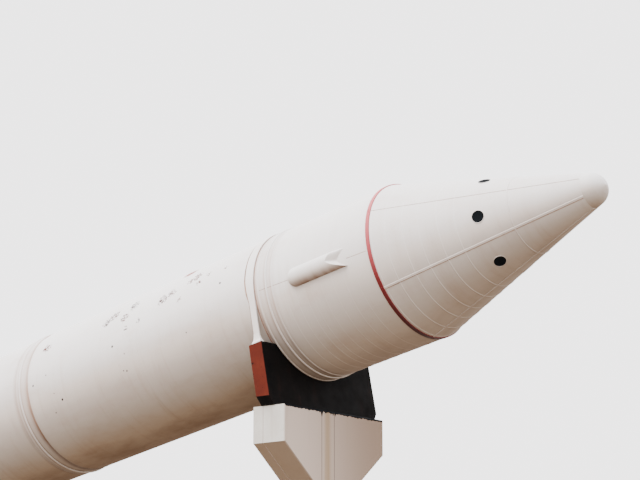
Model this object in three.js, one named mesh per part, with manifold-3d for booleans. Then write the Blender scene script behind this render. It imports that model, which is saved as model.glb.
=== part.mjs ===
// A solid-propellant booster rocket, resting nose-up on two concrete display piers, at half of real size.
// In the exported group +X points forwards, +Y inboard and +Z up, in millimetres.
// Its origin is the centre of the front pier's underside.
// The booster itself is drawn along its own axis, inside a group that is tilted as a whole.
import * as THREE from "three";
import { mergeVertices } from "three/addons/utils/BufferGeometryUtils.js";
import Module from "manifold-3d";

const wasm = await Module();
wasm.setup();

// Driving dimensions. Stations are inches of the full-size booster, counted from ahead of the nose.
// Every other length is in millimetres of the half-size model.
const MODEL_SCALE = 0.5;
const STATION_PITCH = 25.4 * MODEL_SCALE;
const DATUM_STATION = 401;
const CASE_RADIUS = 927;
const CONE_HALF_ANGLE = THREE.MathUtils.degToRad(17.1);
const AXIS_RISE = THREE.MathUtils.degToRad(11.17);
const DATUM_HEIGHT = 5460;
const SEAM = 0.3;
const BEARING_GAP = 0.4;
const ROUND_SIDES = 44;

const STATION = {
  noseTip: 200,
  tipJoint: 216,
  motorPorts: 303.8,
  capJoint: 278,
  separationFront: 399.5,
  separationAft: 402.5,
  thrustPost: 445,
  jointFront: 512,
  skirtJoint: 520.7,
  jointAft: 533.5,
  attachRing: 1511,
  skirtFront: 1837,
  skirtKnuckle: 1848,
  skirtBase: 1930.6,
  actuatorPivot: 1858,
  gimbal: 1905,
  nozzleExit: 1989.6,
};

const FIELD_JOINTS = [851.5, 1171.5, 1491.5];

// Forward distance of a station from the separation ring, along the booster's axis
const at = (station) => (DATUM_STATION - station) * STATION_PITCH;

// Each support holds the booster at a station. Its saddle hangs square to the axis, so its foot lies
// ahead of that station, over the middle of its pier.
const SUPPORTS = [
  { name: "front", station: 538.8 },
  { name: "rear", station: 1762.5 },
];
const SADDLE = { halfLength: 95, halfWidth: 990, hornDrop: 580, drop: 1288.5314, chamfer: 78 };
const PIER_LEAD = 1.8075;
const pierAhead = SADDLE.drop * Math.tan(AXIS_RISE) + PIER_LEAD;
const datumForward = -at(SUPPORTS[0].station) * Math.cos(AXIS_RISE) - pierAhead;

const finishes = {
  white: new THREE.MeshStandardMaterial({ color: 0xdedcd8, roughness: 0.5, metalness: 0 }),
  red: new THREE.MeshStandardMaterial({ color: 0x9c2e30, roughness: 0.5, metalness: 0 }),
  black: new THREE.MeshStandardMaterial({ color: 0x14181c, roughness: 0.7, metalness: 0 }),
  steel: new THREE.MeshStandardMaterial({ color: 0x8a8d90, roughness: 0.4, metalness: 0.8 }),
  insulation: new THREE.MeshStandardMaterial({ color: 0x3a3632, roughness: 0.8, metalness: 0 }),
  rust: new THREE.MeshStandardMaterial({ color: 0x8f4030, roughness: 0.8, metalness: 0 }),
  concrete: new THREE.MeshStandardMaterial({ color: 0xcdc8c0, roughness: 0.9, metalness: 0 }),
};

// Solids and their joins

const WELD = 1e-3;

function solidOf(geometry) {
  const bare = geometry.index ? geometry.toNonIndexed() : geometry.clone();
  bare.deleteAttribute("normal");
  bare.deleteAttribute("uv");
  const merged = mergeVertices(bare, WELD);
  const corners = merged.attributes.position;
  const order = merged.index.array;
  const kept = [];
  const [a, b, c] = [new THREE.Vector3(), new THREE.Vector3(), new THREE.Vector3()];
  let volume = 0;
  for (let i = 0; i < order.length; i += 3) {
    const [p, q, r] = [order[i], order[i + 1], order[i + 2]];
    if (p === q || q === r || r === p) continue;
    kept.push(p, q, r);
    a.fromBufferAttribute(corners, p);
    b.fromBufferAttribute(corners, q);
    c.fromBufferAttribute(corners, r);
    volume += a.dot(b.cross(c));
  }
  if (volume < 0) kept.reverse();
  return new wasm.Manifold(
    new wasm.Mesh({
      numProp: 3,
      vertProperties: new Float32Array(corners.array),
      triVerts: new Uint32Array(kept),
    }),
  );
}

function geometryOf(solid) {
  const { vertProperties, triVerts } = solid.getMesh();
  const geometry = new THREE.BufferGeometry();
  geometry.setAttribute("position", new THREE.BufferAttribute(new Float32Array(vertProperties), 3));
  geometry.setIndex(new THREE.BufferAttribute(new Uint32Array(triVerts), 1));
  geometry.computeVertexNormals();
  return geometry;
}

const joined = (solids) => solids.reduce((whole, next) => whole.add(next));

function addPiece(parent, name, solid, finish) {
  const mesh = new THREE.Mesh(geometryOf(solid), finishes[finish].clone());
  mesh.name = name;
  parent.add(mesh);
  return mesh;
}

// Shapes along the booster's axis. An azimuth is in degrees: 0 outboard, 90 up, 180 inboard.

const radialOf = (azimuth) => {
  const angle = THREE.MathUtils.degToRad(azimuth);
  return new THREE.Vector3(0, -Math.cos(angle), Math.sin(angle));
};

// Axes of a frame at an azimuth: forwards, sideways round the booster, and outwards
function frameAt(azimuth, forward, radius) {
  const outwards = radialOf(azimuth);
  const forwards = new THREE.Vector3(1, 0, 0);
  const sideways = outwards.clone().cross(forwards);
  const place = outwards.clone().multiplyScalar(radius);
  place.x = forward;
  return new THREE.Matrix4().makeBasis(forwards, sideways, outwards).setPosition(place);
}

// A closed outline of [forward, radius] points, turned round the axis from a first azimuth in radians
function turned(outline, sides = ROUND_SIDES, firstAngle = 0) {
  const points = outline.map(([forward, radius]) => new THREE.Vector2(radius, forward));
  points.push(points[0].clone());
  return solidOf(new THREE.LatheGeometry(points, sides, firstAngle).rotateZ(-Math.PI / 2));
}

// A turned face is flat between its corners: half a side's angle, and a radius that clears one all round
const halfSide = Math.PI / ROUND_SIDES;
const roundOutside = (radius) => radius / Math.cos(halfSide);

const disc = (front, aft, radius, sides = ROUND_SIDES) =>
  turned([[front, 0], [front, radius], [aft, radius], [aft, 0]], sides);

const sleeve = (front, aft, inner, outer, sides = ROUND_SIDES) =>
  turned([[front, inner], [front, outer], [aft, outer], [aft, inner]], sides);

// An outline of [across, up] points, extruded forwards from aft to front
function extrudedForwards(outline, aft, front) {
  const shape = new THREE.Shape(outline.map(([across, up]) => new THREE.Vector2(across, up)));
  const geometry = new THREE.ExtrudeGeometry(shape, { depth: front - aft, bevelEnabled: false });
  const axes = new THREE.Matrix4().makeBasis(
    new THREE.Vector3(0, 1, 0),
    new THREE.Vector3(0, 0, 1),
    new THREE.Vector3(1, 0, 0),
  );
  return solidOf(geometry.applyMatrix4(axes.setPosition(aft, 0, 0)));
}

const block = (long, wide, high, matrix) =>
  solidOf(new THREE.BoxGeometry(long, wide, high).applyMatrix4(matrix));

// A round bar between two points
function bar(from, to, radius, sides = 16) {
  const length = from.distanceTo(to);
  const turn = new THREE.Quaternion().setFromUnitVectors(
    new THREE.Vector3(0, 1, 0),
    to.clone().sub(from).normalize(),
  );
  const middle = from.clone().add(to).multiplyScalar(0.5);
  const geometry = new THREE.CylinderGeometry(radius, radius, length, sides);
  return solidOf(geometry.applyQuaternion(turn).translate(middle.x, middle.y, middle.z));
}

// Points of an arc, by centre, radius and two angles in degrees
function arc(centreX, centreY, radius, from, to, steps) {
  return Array.from({ length: steps + 1 }, (_, i) => {
    const angle = THREE.MathUtils.degToRad(from + ((to - from) * i) / steps);
    return [centreX + radius * Math.cos(angle), centreY + radius * Math.sin(angle)];
  });
}

const part = new THREE.Group();
const booster = new THREE.Group();
booster.position.set(datumForward, 0, DATUM_HEIGHT);
booster.rotation.y = -AXIS_RISE;
booster.updateMatrixWorld();
part.add(booster);

// A plain round bar as long as the whole booster, to cut what lies on the case down to its surface
const clearOfCase = disc(at(STATION.capJoint), at(STATION.nozzleExit), CASE_RADIUS + SEAM);

// Nose: a round tip, a cap and a frustum, all on one cone

const coneSlope = Math.tan(CONE_HALF_ANGLE);
const coneRadius = (forward) => CASE_RADIUS - coneSlope * forward;
const tipRadius =
  coneRadius(at(STATION.noseTip)) /
  (Math.cos(CONE_HALF_ANGLE) + coneSlope * Math.sin(CONE_HALF_ANGLE) - coneSlope);

const GORE = { count: 6, firstSeam: -30.5, battenWidth: 40, battenRise: 7 };
const PORT = { radius: 69, depth: 30, recess: 4 };
const CAP_BEAD = { width: 11, rise: 5 };
const NOSE_BEADS = { stations: [323.8, 339.2, 355.5, 369.6, 385], half: 8, rise: 4 };

const gores = Array.from({ length: GORE.count }, (_, i) => ({
  seam: GORE.firstSeam + (360 / GORE.count) * i,
  middle: GORE.firstSeam + (360 / GORE.count) * (i + 0.5),
}));

function noseTip() {
  const centre = at(STATION.noseTip) - tipRadius;
  const coneStart = 90 - THREE.MathUtils.radToDeg(CONE_HALF_ANGLE);
  const aft = at(STATION.tipJoint) + SEAM / 2;
  return turned([
    ...arc(centre, 0, tipRadius, 0, coneStart, 8),
    [aft, coneRadius(aft)],
    [aft, 0],
  ]);
}

// A flat batten along one seam, laid on the cone from one station to another
function batten(azimuth, aft, front) {
  const length = (front - aft) / Math.cos(CONE_HALF_ANGLE);
  const middle = (front + aft) / 2;
  const lean = new THREE.Matrix4().makeRotationY(CONE_HALF_ANGLE);
  const place = frameAt(azimuth, middle, coneRadius(middle)).multiply(lean);
  return block(length, GORE.battenWidth, 2 * GORE.battenRise, place);
}

function noseCap() {
  const aft = at(STATION.capJoint) + SEAM / 2;
  const front = at(STATION.tipJoint) - SEAM / 2;
  const cone = turned([
    [front, 0],
    [front, coneRadius(front)],
    [aft + CAP_BEAD.width, coneRadius(aft + CAP_BEAD.width)],
    [aft, coneRadius(aft) + CAP_BEAD.rise],
    [aft, 0],
  ]);
  const battens = gores.map(({ seam }) => batten(seam, aft + CAP_BEAD.width, front - CAP_BEAD.width));
  return joined([cone, ...battens]);
}

function frustum() {
  const front = at(STATION.capJoint) - SEAM / 2;
  const aft = at(STATION.separationFront) + SEAM / 2;
  const beads = NOSE_BEADS.stations.flatMap((station) => {
    const [ahead, middle, behind] = [1, 0, -1].map((step) => at(station) + step * NOSE_BEADS.half);
    return [
      [ahead, coneRadius(ahead)],
      [middle, coneRadius(middle) + NOSE_BEADS.rise],
      [behind, coneRadius(behind)],
    ];
  });
  const cone = turned([
    [front, 0],
    [front, coneRadius(front)],
    ...beads,
    [aft, coneRadius(aft)],
    [aft, 0],
  ]);
  const battens = gores.map(({ seam }) => batten(seam, aft + CAP_BEAD.width, front - CAP_BEAD.width));
  const ports = gores.map(({ middle }) => portPlug(middle, SEAM));
  return ports.reduce((whole, port) => whole.subtract(port), joined([cone, ...battens]));
}

// A separation motor's mouth: a round plug set square into the cone
function portPlug(azimuth, clearance) {
  const forward = at(STATION.motorPorts);
  const lean = new THREE.Matrix4().makeRotationY(CONE_HALF_ANGLE);
  const height = clearance ? 2 * PORT.depth : PORT.depth - PORT.recess;
  const lift = clearance ? 0 : -(PORT.depth + PORT.recess) / 2 + SEAM;
  const geometry = new THREE.CylinderGeometry(PORT.radius + clearance, PORT.radius + clearance, height, 20);
  geometry.rotateX(Math.PI / 2).translate(0, 0, lift);
  return solidOf(geometry.applyMatrix4(frameAt(azimuth, forward, coneRadius(forward)).multiply(lean)));
}

addPiece(booster, "nose_tip", noseTip(), "white");
addPiece(booster, "nose_cap", noseCap(), "white");
addPiece(booster, "nose_frustum", frustum(), "white");
gores.forEach(({ middle }, i) =>
  addPiece(booster, `separation_motor_port_${i + 1}`, portPlug(middle, 0), "black"),
);

// Separation ring and forward skirt

const SEPARATION_RING_RISE = 5;
addPiece(
  booster,
  "separation_ring",
  disc(
    at(STATION.separationFront) - SEAM / 2,
    at(STATION.separationAft) + SEAM / 2,
    CASE_RADIUS + SEPARATION_RING_RISE,
  ),
  "red",
);
addPiece(
  booster,
  "forward_skirt",
  disc(at(STATION.separationAft) - SEAM / 2, at(STATION.jointFront) + SEAM / 2, CASE_RADIUS),
  "white",
);

// A blister on the skirt: half a lying capsule, cut off aslant in front
const BLISTER = { azimuth: 0.5, aft: -1160, front: -345, halfWidth: 112, rise: 95, bury: 8 };
const SCOOP = { radius: 210, squash: 0.9, ahead: 25, above: 73 };

function blister() {
  const { azimuth, aft, front, halfWidth, rise, bury } = BLISTER;
  const length = front - aft;
  const capsule = new THREE.CapsuleGeometry(halfWidth, length - halfWidth, 10, 24)
    .rotateZ(-Math.PI / 2)
    .translate(aft + length / 2 + halfWidth / 2, 0, 0)
    .scale(1, 1, rise / halfWidth);
  const cutter = new THREE.CylinderGeometry(SCOOP.radius, SCOOP.radius, 3 * halfWidth, 32)
    .scale(1, 1, SCOOP.squash)
    .translate(front + SCOOP.ahead, 0, rise + SCOOP.above);
  const flatFront = new THREE.BoxGeometry(length, length, length).translate(front + length / 2, 0, 0);
  const place = frameAt(azimuth, 0, CASE_RADIUS - bury);
  return solidOf(capsule.applyMatrix4(place))
    .subtract(solidOf(cutter.applyMatrix4(place)))
    .subtract(solidOf(flatFront.applyMatrix4(place)))
    .subtract(clearOfCase);
}

addPiece(booster, "skirt_blister", blister(), "white");

// The post that carries the booster's thrust into its neighbour
const THRUST_POST = { baseHalf: 190, tipHalf: 105, reach: 205, bury: 60 };

function thrustPost() {
  const { baseHalf, tipHalf, reach, bury } = THRUST_POST;
  const geometry = new THREE.CylinderGeometry(
    tipHalf * Math.SQRT2,
    baseHalf * Math.SQRT2,
    reach + bury,
    4,
  )
    .rotateY(Math.PI / 4)
    .rotateX(Math.PI / 2)
    .translate(0, 0, (reach - bury) / 2);
  const place = frameAt(180, at(STATION.thrustPost), CASE_RADIUS);
  return solidOf(geometry.applyMatrix4(place)).subtract(clearOfCase);
}

addPiece(booster, "thrust_post", thrustPost(), "white");

// Ring joints: short discs with raised beads, listed as forward offset from the joint, rise and half-width
const SKIRT_JOINT_BEADS = [
  { forward: 97, rise: 6, half: 9 },
  { forward: 4, rise: 14, half: 12 },
  { forward: -122, rise: 9, half: 10 },
];
const FIELD_JOINT = { front: 12.5, aft: 7.5 };
const FIELD_JOINT_BEADS = [
  { forward: 145, rise: 5, half: 8 },
  { forward: 0, rise: 14, half: 14 },
];

function ringJoint(centre, front, aft, beads) {
  const outline = [[front, 0], [front, CASE_RADIUS]];
  for (const { forward, rise, half } of beads) {
    const middle = centre + forward;
    outline.push(
      [middle + half, CASE_RADIUS],
      [middle, CASE_RADIUS + rise],
      [middle - half, CASE_RADIUS],
    );
  }
  outline.push([aft, CASE_RADIUS], [aft, 0]);
  return turned(outline);
}

addPiece(
  booster,
  "skirt_joint_ring",
  ringJoint(
    at(STATION.skirtJoint),
    at(STATION.jointFront) - SEAM / 2,
    at(STATION.jointAft) + SEAM / 2,
    SKIRT_JOINT_BEADS,
  ),
  "white",
);

// Motor case: four segments between the joints
FIELD_JOINTS.forEach((station, i) => {
  const front = at(station - FIELD_JOINT.front) - SEAM / 2;
  const aft = at(station + FIELD_JOINT.aft) + SEAM / 2;
  addPiece(booster, `field_joint_${i + 1}`, ringJoint(at(station), front, aft, FIELD_JOINT_BEADS), "white");
});

const segmentFronts = [STATION.jointAft, ...FIELD_JOINTS.map((station) => station + FIELD_JOINT.aft)];
const segmentAfts = [...FIELD_JOINTS.map((station) => station - FIELD_JOINT.front), STATION.skirtFront];
segmentFronts.forEach((front, i) =>
  addPiece(
    booster,
    `case_segment_${i + 1}`,
    disc(at(front) - SEAM / 2, at(segmentAfts[i]) + SEAM / 2, CASE_RADIUS),
    "white",
  ),
);

// Aft attach ring with its three half struts
const ATTACH_RING = { halfLength: 70, rise: 100, web: 60, flange: 16 };

function attachRing() {
  const { halfLength, rise, web, flange } = ATTACH_RING;
  const middle = at(STATION.attachRing);
  const [inner, outer] = [CASE_RADIUS + SEAM, CASE_RADIUS + rise];
  return turned([
    [middle + web / 2, inner],
    [middle + web / 2, outer - flange],
    [middle + halfLength, outer - flange],
    [middle + halfLength, outer],
    [middle - halfLength, outer],
    [middle - halfLength, outer - flange],
    [middle - web / 2, outer - flange],
    [middle - web / 2, inner],
  ]);
}

addPiece(booster, "attach_ring", attachRing(), "white");

// Each strut leaves the ring at an azimuth and climbs at a heading above the inboard direction
const STRUTS = [
  { name: "upper", azimuth: 142, heading: 0 },
  { name: "diagonal", azimuth: 194, heading: 30 },
  { name: "lower", azimuth: 218, heading: 0 },
];
const STRUT = { radius: 56, end: 1290, flangeRadius: 88, flange: 26, foot: 168, footRadius: 78, bury: 30 };

function strut({ azimuth, heading }) {
  const ringRadius = CASE_RADIUS + ATTACH_RING.rise;
  const climb = THREE.MathUtils.degToRad(heading);
  const direction = new THREE.Vector3(0, Math.cos(climb), Math.sin(climb));
  const start = radialOf(azimuth).multiplyScalar(ringRadius - STRUT.bury);
  start.x = at(STATION.attachRing);
  const along = (distance) => start.clone().addScaledVector(direction, distance);
  const length = (STRUT.end - start.y) / direction.y;
  const reach = 2 * STRUT.flangeRadius;
  const ringEnvelope = disc(start.x + reach, start.x - reach, ringRadius + SEAM);
  return joined([
    bar(along(0), along(length), STRUT.radius),
    bar(along(0), along(STRUT.foot), STRUT.footRadius),
    bar(along(length - STRUT.flange), along(length), STRUT.flangeRadius),
  ]).subtract(ringEnvelope);
}

STRUTS.forEach((row) => addPiece(booster, `attach_strut_${row.name}`, strut(row), "white"));

// Stiffener rings round the aft segment
const STIFFENER = { stations: [1577, 1638, 1700], height: 40, halfLength: 20 };

STIFFENER.stations.forEach((station, i) => {
  const { halfLength, height } = STIFFENER;
  const front = at(station) + halfLength;
  const ring = sleeve(front, front - 2 * halfLength, CASE_RADIUS + SEAM, CASE_RADIUS + height);
  addPiece(booster, `stiffener_ring_${i + 1}`, ring, "white");
});

// Systems tunnel: a low flat-topped duct in four runs, notched where it crosses rings and beads
const TUNNEL = { azimuth: 152, baseHalf: 75, topHalf: 55, rise: 66, bury: 20, notchGap: 2, beadGap: 1 };
const TUNNEL_RUNS = [
  { front: 424, aft: 851.5 },
  { front: 851.5, aft: 1171.5 },
  { front: 1171.5, aft: 1503 },
  { front: 1519, aft: 1834 },
];

// A strap crosses the case above each saddle and hangs plumb beside it, down to its feet
const STRAP = { thickness: 12, bury: 4, halfWidth: 60, neckHalf: 40, lap: 5, steps: 32, offset: -10 };
const STRAP_FOOT = {
  toe: 905,
  innerTop: 928,
  outerTop: 940,
  outer: 968,
  sole: 24,
  height: 110,
  halfLength: 64,
};

// What the tunnel is notched for, as forward middle, half-length and rise
const beadZones = [
  ...STIFFENER.stations.map((station) => ({
    middle: at(station),
    half: STIFFENER.halfLength,
    rise: STIFFENER.height,
  })),
  ...SUPPORTS.map(({ station }) => ({
    middle: at(station) + STRAP.offset,
    half: STRAP.halfWidth,
    rise: STRAP.thickness,
  })),
  ...SKIRT_JOINT_BEADS.map(({ forward, half, rise }) => ({
    middle: at(STATION.skirtJoint) + forward,
    half,
    rise,
  })),
  ...FIELD_JOINTS.flatMap((station) =>
    FIELD_JOINT_BEADS.map(({ forward, half, rise }) => ({ middle: at(station) + forward, half, rise })),
  ),
];

function tunnelRun({ front, aft }) {
  const { azimuth, baseHalf, topHalf, rise, bury, notchGap, beadGap } = TUNNEL;
  const length = at(front) - at(aft) - SEAM;
  const section = [[-baseHalf, -bury], [baseHalf, -bury], [topHalf, rise], [-topHalf, rise]];
  const shape = new THREE.Shape(section.map(([across, up]) => new THREE.Vector2(across, up)));
  const geometry = new THREE.ExtrudeGeometry(shape, { depth: length, bevelEnabled: false });
  const upright = new THREE.Matrix4().makeBasis(
    new THREE.Vector3(0, 1, 0),
    new THREE.Vector3(0, 0, 1),
    new THREE.Vector3(1, 0, 0),
  );
  const place = frameAt(azimuth, at(aft) + SEAM / 2, CASE_RADIUS).multiply(upright);
  let run = solidOf(geometry.applyMatrix4(place)).subtract(clearOfCase);
  const crossed = (zone) => zone.middle < at(front) + zone.half && zone.middle > at(aft) - zone.half;
  for (const { middle, half, rise: bead } of beadZones.filter(crossed)) {
    const notch = half + notchGap;
    const top = roundOutside(CASE_RADIUS + bead + beadGap);
    run = run.subtract(sleeve(middle + notch, middle - notch, CASE_RADIUS - bury, top));
  }
  return run;
}

TUNNEL_RUNS.forEach((row, i) => addPiece(booster, `systems_tunnel_${i + 1}`, tunnelRun(row), "white"));

// Aft skirt: a flared shell, open at the back, with lugs inside for the steering cylinders
const SKIRT = {
  frontRadius: 950,
  baseRadius: 1322.5,
  wall: 25,
  flangeInner: 780,
  flange: 60,
  rim: 45,
  rimWall: 55,
};
const skirtKnuckle = at(STATION.skirtKnuckle);
const skirtBase = at(STATION.skirtBase);
const skirtSlope = (SKIRT.baseRadius - SKIRT.frontRadius) / (skirtKnuckle - skirtBase);
const skirtRadius = (forward) =>
  SKIRT.frontRadius + Math.max(0, skirtKnuckle - forward) * skirtSlope;

const ACTUATORS = [
  { name: "rock", azimuth: -45 },
  { name: "tilt", azimuth: -135 },
];
const FIXED_EYE = { radius: 800, halfWidth: 24, pin: 18, pinGap: 0.5 };
const LUG = { gap: 1, thickness: 22, nose: 46, rootHalf: 74 };

// Two ears, drawn in the plane of an actuator, on the skirt's wall or on the nozzle's ring
function ears(place, reach, halfGap, pinHole) {
  const shape = new THREE.Shape();
  shape.moveTo(-LUG.rootHalf, reach);
  shape.lineTo(-LUG.nose, 0);
  shape.absarc(0, 0, LUG.nose, Math.PI, 2 * Math.PI, false);
  shape.lineTo(LUG.rootHalf, reach);
  shape.closePath();
  if (pinHole) {
    const hole = new THREE.Path();
    hole.absarc(0, 0, pinHole, 0, 2 * Math.PI, true);
    shape.holes.push(hole);
  }
  return [halfGap, -halfGap - LUG.thickness].map((start) => {
    const geometry = new THREE.ExtrudeGeometry(shape, {
      depth: LUG.thickness,
      bevelEnabled: false,
      curveSegments: 8,
    });
    geometry.translate(0, 0, start).rotateX(Math.PI / 2);
    return solidOf(geometry.applyMatrix4(place));
  });
}

function aftSkirt() {
  const front = at(STATION.skirtFront) - SEAM / 2;
  const { wall, flangeInner, flange, rim, rimWall } = SKIRT;
  const shell = turned([
    [front, flangeInner],
    [front, SKIRT.frontRadius],
    [skirtKnuckle, SKIRT.frontRadius],
    [skirtBase, SKIRT.baseRadius],
    [skirtBase, SKIRT.baseRadius - rimWall],
    [skirtBase + rim, skirtRadius(skirtBase + rim) - rimWall],
    [skirtBase + rim, skirtRadius(skirtBase + rim) - wall],
    [skirtKnuckle, SKIRT.frontRadius - wall],
    [front - flange, SKIRT.frontRadius - wall],
    [front - flange, flangeInner],
  ]);
  const pivot = at(STATION.actuatorPivot);
  const reach = skirtRadius(pivot) - SKIRT.wall / 2 - FIXED_EYE.radius;
  const lugs = ACTUATORS.flatMap(({ azimuth }) =>
    ears(
      frameAt(azimuth, pivot, FIXED_EYE.radius),
      reach,
      FIXED_EYE.halfWidth + LUG.gap,
      FIXED_EYE.pin + FIXED_EYE.pinGap,
    ),
  );
  return joined([shell, ...lugs]);
}

addPiece(booster, "aft_skirt", aftSkirt(), "white");

// The skirt filled solid, to cut what lies on it, and its hollow, to fit what lies inside it
const skirtEnvelope = turned([
  [at(STATION.skirtFront), 0],
  [at(STATION.skirtFront), SKIRT.frontRadius + SEAM],
  [skirtKnuckle, SKIRT.frontRadius + SEAM],
  [skirtBase - SEAM, SKIRT.baseRadius + SEAM],
  [skirtBase - SEAM, 0],
]);
const hollowRadiusAt = (forward) => skirtRadius(forward) - SKIRT.wall - SEAM;
const hollowFront = at(STATION.skirtFront) - SKIRT.flange - SEAM;
const hollowAft = skirtBase + SKIRT.rim;
const skirtHollow = turned([
  [hollowFront, 0],
  [hollowFront, hollowRadiusAt(hollowFront)],
  [skirtKnuckle, hollowRadiusAt(skirtKnuckle)],
  [hollowAft, hollowRadiusAt(hollowAft)],
  [hollowAft, 0],
]);

// Hold-down posts: four forged feet on the flare, flat underneath
const POST = {
  azimuths: [45, 135, 225, 315],
  top: 1886,
  topReach: 1200,
  topDepth: 60,
  halfWidth: 120,
  outer: 1345,
  outerLength: 110,
  foot: 16,
};

function holdDownPost(azimuth) {
  const outline = [
    [at(POST.top), POST.topReach - POST.topDepth],
    [at(POST.top), POST.topReach],
    [skirtBase + POST.outerLength, POST.outer],
    [skirtBase - POST.foot, POST.outer],
    [skirtBase - POST.foot, SKIRT.baseRadius - SKIRT.rimWall],
    [skirtBase - SEAM, SKIRT.baseRadius - SKIRT.rimWall],
    [skirtBase - SEAM, SKIRT.baseRadius - SKIRT.wall],
  ];
  const shape = new THREE.Shape(outline.map(([forward, radius]) => new THREE.Vector2(forward, radius)));
  const geometry = new THREE.ExtrudeGeometry(shape, { depth: 2 * POST.halfWidth, bevelEnabled: false })
    .translate(0, 0, -POST.halfWidth)
    .rotateX(Math.PI / 2);
  return solidOf(geometry.applyMatrix4(frameAt(azimuth, 0, 0))).subtract(skirtEnvelope);
}

POST.azimuths.forEach((azimuth, i) =>
  addPiece(booster, `hold_down_post_${i + 1}`, holdDownPost(azimuth), "white"),
);

// Aft separation motors: four short tubes lying on the flare, inboard
const AFT_MOTOR = { azimuths: [166.5, 175.5, 184.5, 193.5], radius: 80, length: 380, mouth: 1862, lift: 30 };
const CRADLE = { length: 228, width: 104, height: 140 };
const skirtLean = Math.atan(skirtSlope);

function aftMotor(azimuth) {
  const middle = at(AFT_MOTOR.mouth) - (AFT_MOTOR.length / 2) * Math.cos(skirtLean);
  const lean = new THREE.Matrix4().makeRotationY(skirtLean);
  const place = frameAt(azimuth, middle, skirtRadius(middle)).multiply(lean);
  const { radius, length, lift } = AFT_MOTOR;
  const tube = new THREE.CylinderGeometry(radius, radius, length, 24)
    .rotateZ(-Math.PI / 2)
    .translate(0, 0, radius + lift);
  const cradle = new THREE.BoxGeometry(CRADLE.length, CRADLE.width, CRADLE.height);
  return joined([
    solidOf(tube.applyMatrix4(place)),
    solidOf(cradle.applyMatrix4(place)),
  ]).subtract(skirtEnvelope);
}

AFT_MOTOR.azimuths.forEach((azimuth, i) =>
  addPiece(booster, `aft_separation_motor_${i + 1}`, aftMotor(azimuth), "white"),
);

// Hydraulic power units: a box with a round fuel tank, on the skirt's inner wall
const POWER_UNIT = {
  azimuths: [-15, -165],
  forward: 1884,
  long: 330,
  wide: 260,
  high: 400,
  inner: 860,
};
const FUEL_TANK = { radius: 90, bury: 36 };

function powerUnit(azimuth) {
  const { forward, long, wide, high, inner } = POWER_UNIT;
  const middle = at(forward);
  const box = block(long, wide, high, frameAt(azimuth, middle, inner + high / 2));
  const tank = new THREE.SphereGeometry(FUEL_TANK.radius, 12, 8).applyMatrix4(
    frameAt(azimuth, middle, inner - FUEL_TANK.bury),
  );
  return joined([box, solidOf(tank)]).intersect(skirtHollow);
}

POWER_UNIT.azimuths.forEach((azimuth, i) =>
  addPiece(booster, `hydraulic_power_unit_${i + 1}`, powerUnit(azimuth), "steel"),
);

// Nozzle, drawn round the gimbal's pivot point. Its ball, the bearing and the housing share that centre.
const gimbal = new THREE.Group();
gimbal.position.x = at(STATION.gimbal);
booster.add(gimbal);

const BALL = {
  radius: 310,
  bearing: 61,
  step: 10,
  ballEdge: 60,
  bearingHole: 15,
  bearingEdge: 55,
  socketEdge: 50,
};
const THROAT = { radius: 342, depth: 60, shoulder: 100, shoulderRadius: 400, blockRadius: 475, wall: 22 };
const COLLAR = { front: 60, aft: -110, radius: 500, rootRadius: 530 };
const exitForward = at(STATION.nozzleExit) - at(STATION.gimbal);

// Inner wall of the bell, as [forward, radius], from the throat to the exit
const BELL = [
  [THROAT.depth, THROAT.radius],
  [-60, 450],
  [-250, 600],
  [-500, 738],
  [-800, 862],
  [exitForward, 950],
];

// The facets of each face of the bearing lie half a step off its neighbour's, so that the gap
// stays even as they turn. A hollow face is drawn larger, by what its last facets fall short of the round.
const halfStep = THREE.MathUtils.degToRad(BALL.step / 2);
const lastFacet = THREE.MathUtils.degToRad(BALL.bearingEdge - BALL.step / 2);
const facetShortfall =
  (Math.cos(halfStep) * Math.cos(halfSide)) /
  Math.hypot(Math.sin(lastFacet), Math.cos(halfSide) * Math.cos(lastFacet));
const hollowRadius = (radius) => (radius + BEARING_GAP) / facetShortfall;
const sphereArc = (radius, from, to) => arc(0, 0, radius, from, to, Math.abs(to - from) / BALL.step);

function nozzle() {
  const ball = sphereArc(BALL.radius, 0, BALL.ballEdge);
  const outside = BELL.filter(([forward]) => forward < COLLAR.aft).map(([forward, radius]) => [
    forward,
    radius + THROAT.wall,
  ]);
  return turned([
    ...ball,
    [THROAT.shoulder, ball.at(-1)[1]],
    [THROAT.shoulder, THROAT.shoulderRadius],
    [COLLAR.front, THROAT.blockRadius],
    [COLLAR.front, COLLAR.radius],
    [COLLAR.aft, COLLAR.radius],
    [COLLAR.aft, COLLAR.rootRadius],
    ...outside,
    ...[...BELL].reverse(),
    [THROAT.depth, 0],
  ]);
}

addPiece(gimbal, "nozzle_bell", nozzle(), "insulation");

const bearingInner = hollowRadius(BALL.radius);

function flexBearing() {
  const { bearing, bearingHole, bearingEdge } = BALL;
  return turned(
    [
      ...sphereArc(bearingInner, bearingHole, bearingEdge),
      ...sphereArc(bearingInner + bearing, bearingEdge, bearingHole),
    ],
    ROUND_SIDES,
    halfSide,
  );
}

addPiece(gimbal, "flexible_bearing", flexBearing(), "black");

const HOUSING = { radius: 440, front: 560, lip: 60 };
const domeFront = at(STATION.skirtFront) - at(STATION.gimbal) - SEAM / 2;
// The dome's wall, as steps aft of its front and in from its rim
const DOME_STEPS = [
  { aft: 70, inwards: 0 },
  { aft: 150, inwards: 70 },
];
const DOME_NECK = { ahead: 60, inwards: 220, collar: 20 };

function nozzleHousing() {
  const socket = sphereArc(hollowRadius(bearingInner + BALL.bearing), 0, BALL.socketEdge);
  return turned([
    [HOUSING.front, 0],
    [HOUSING.front, HOUSING.radius],
    [socket.at(-1)[0] + HOUSING.lip, HOUSING.radius],
    [socket.at(-1)[0], HOUSING.radius - HOUSING.lip],
    ...socket.reverse(),
  ]);
}

addPiece(gimbal, "nozzle_housing", nozzleHousing(), "steel");

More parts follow.
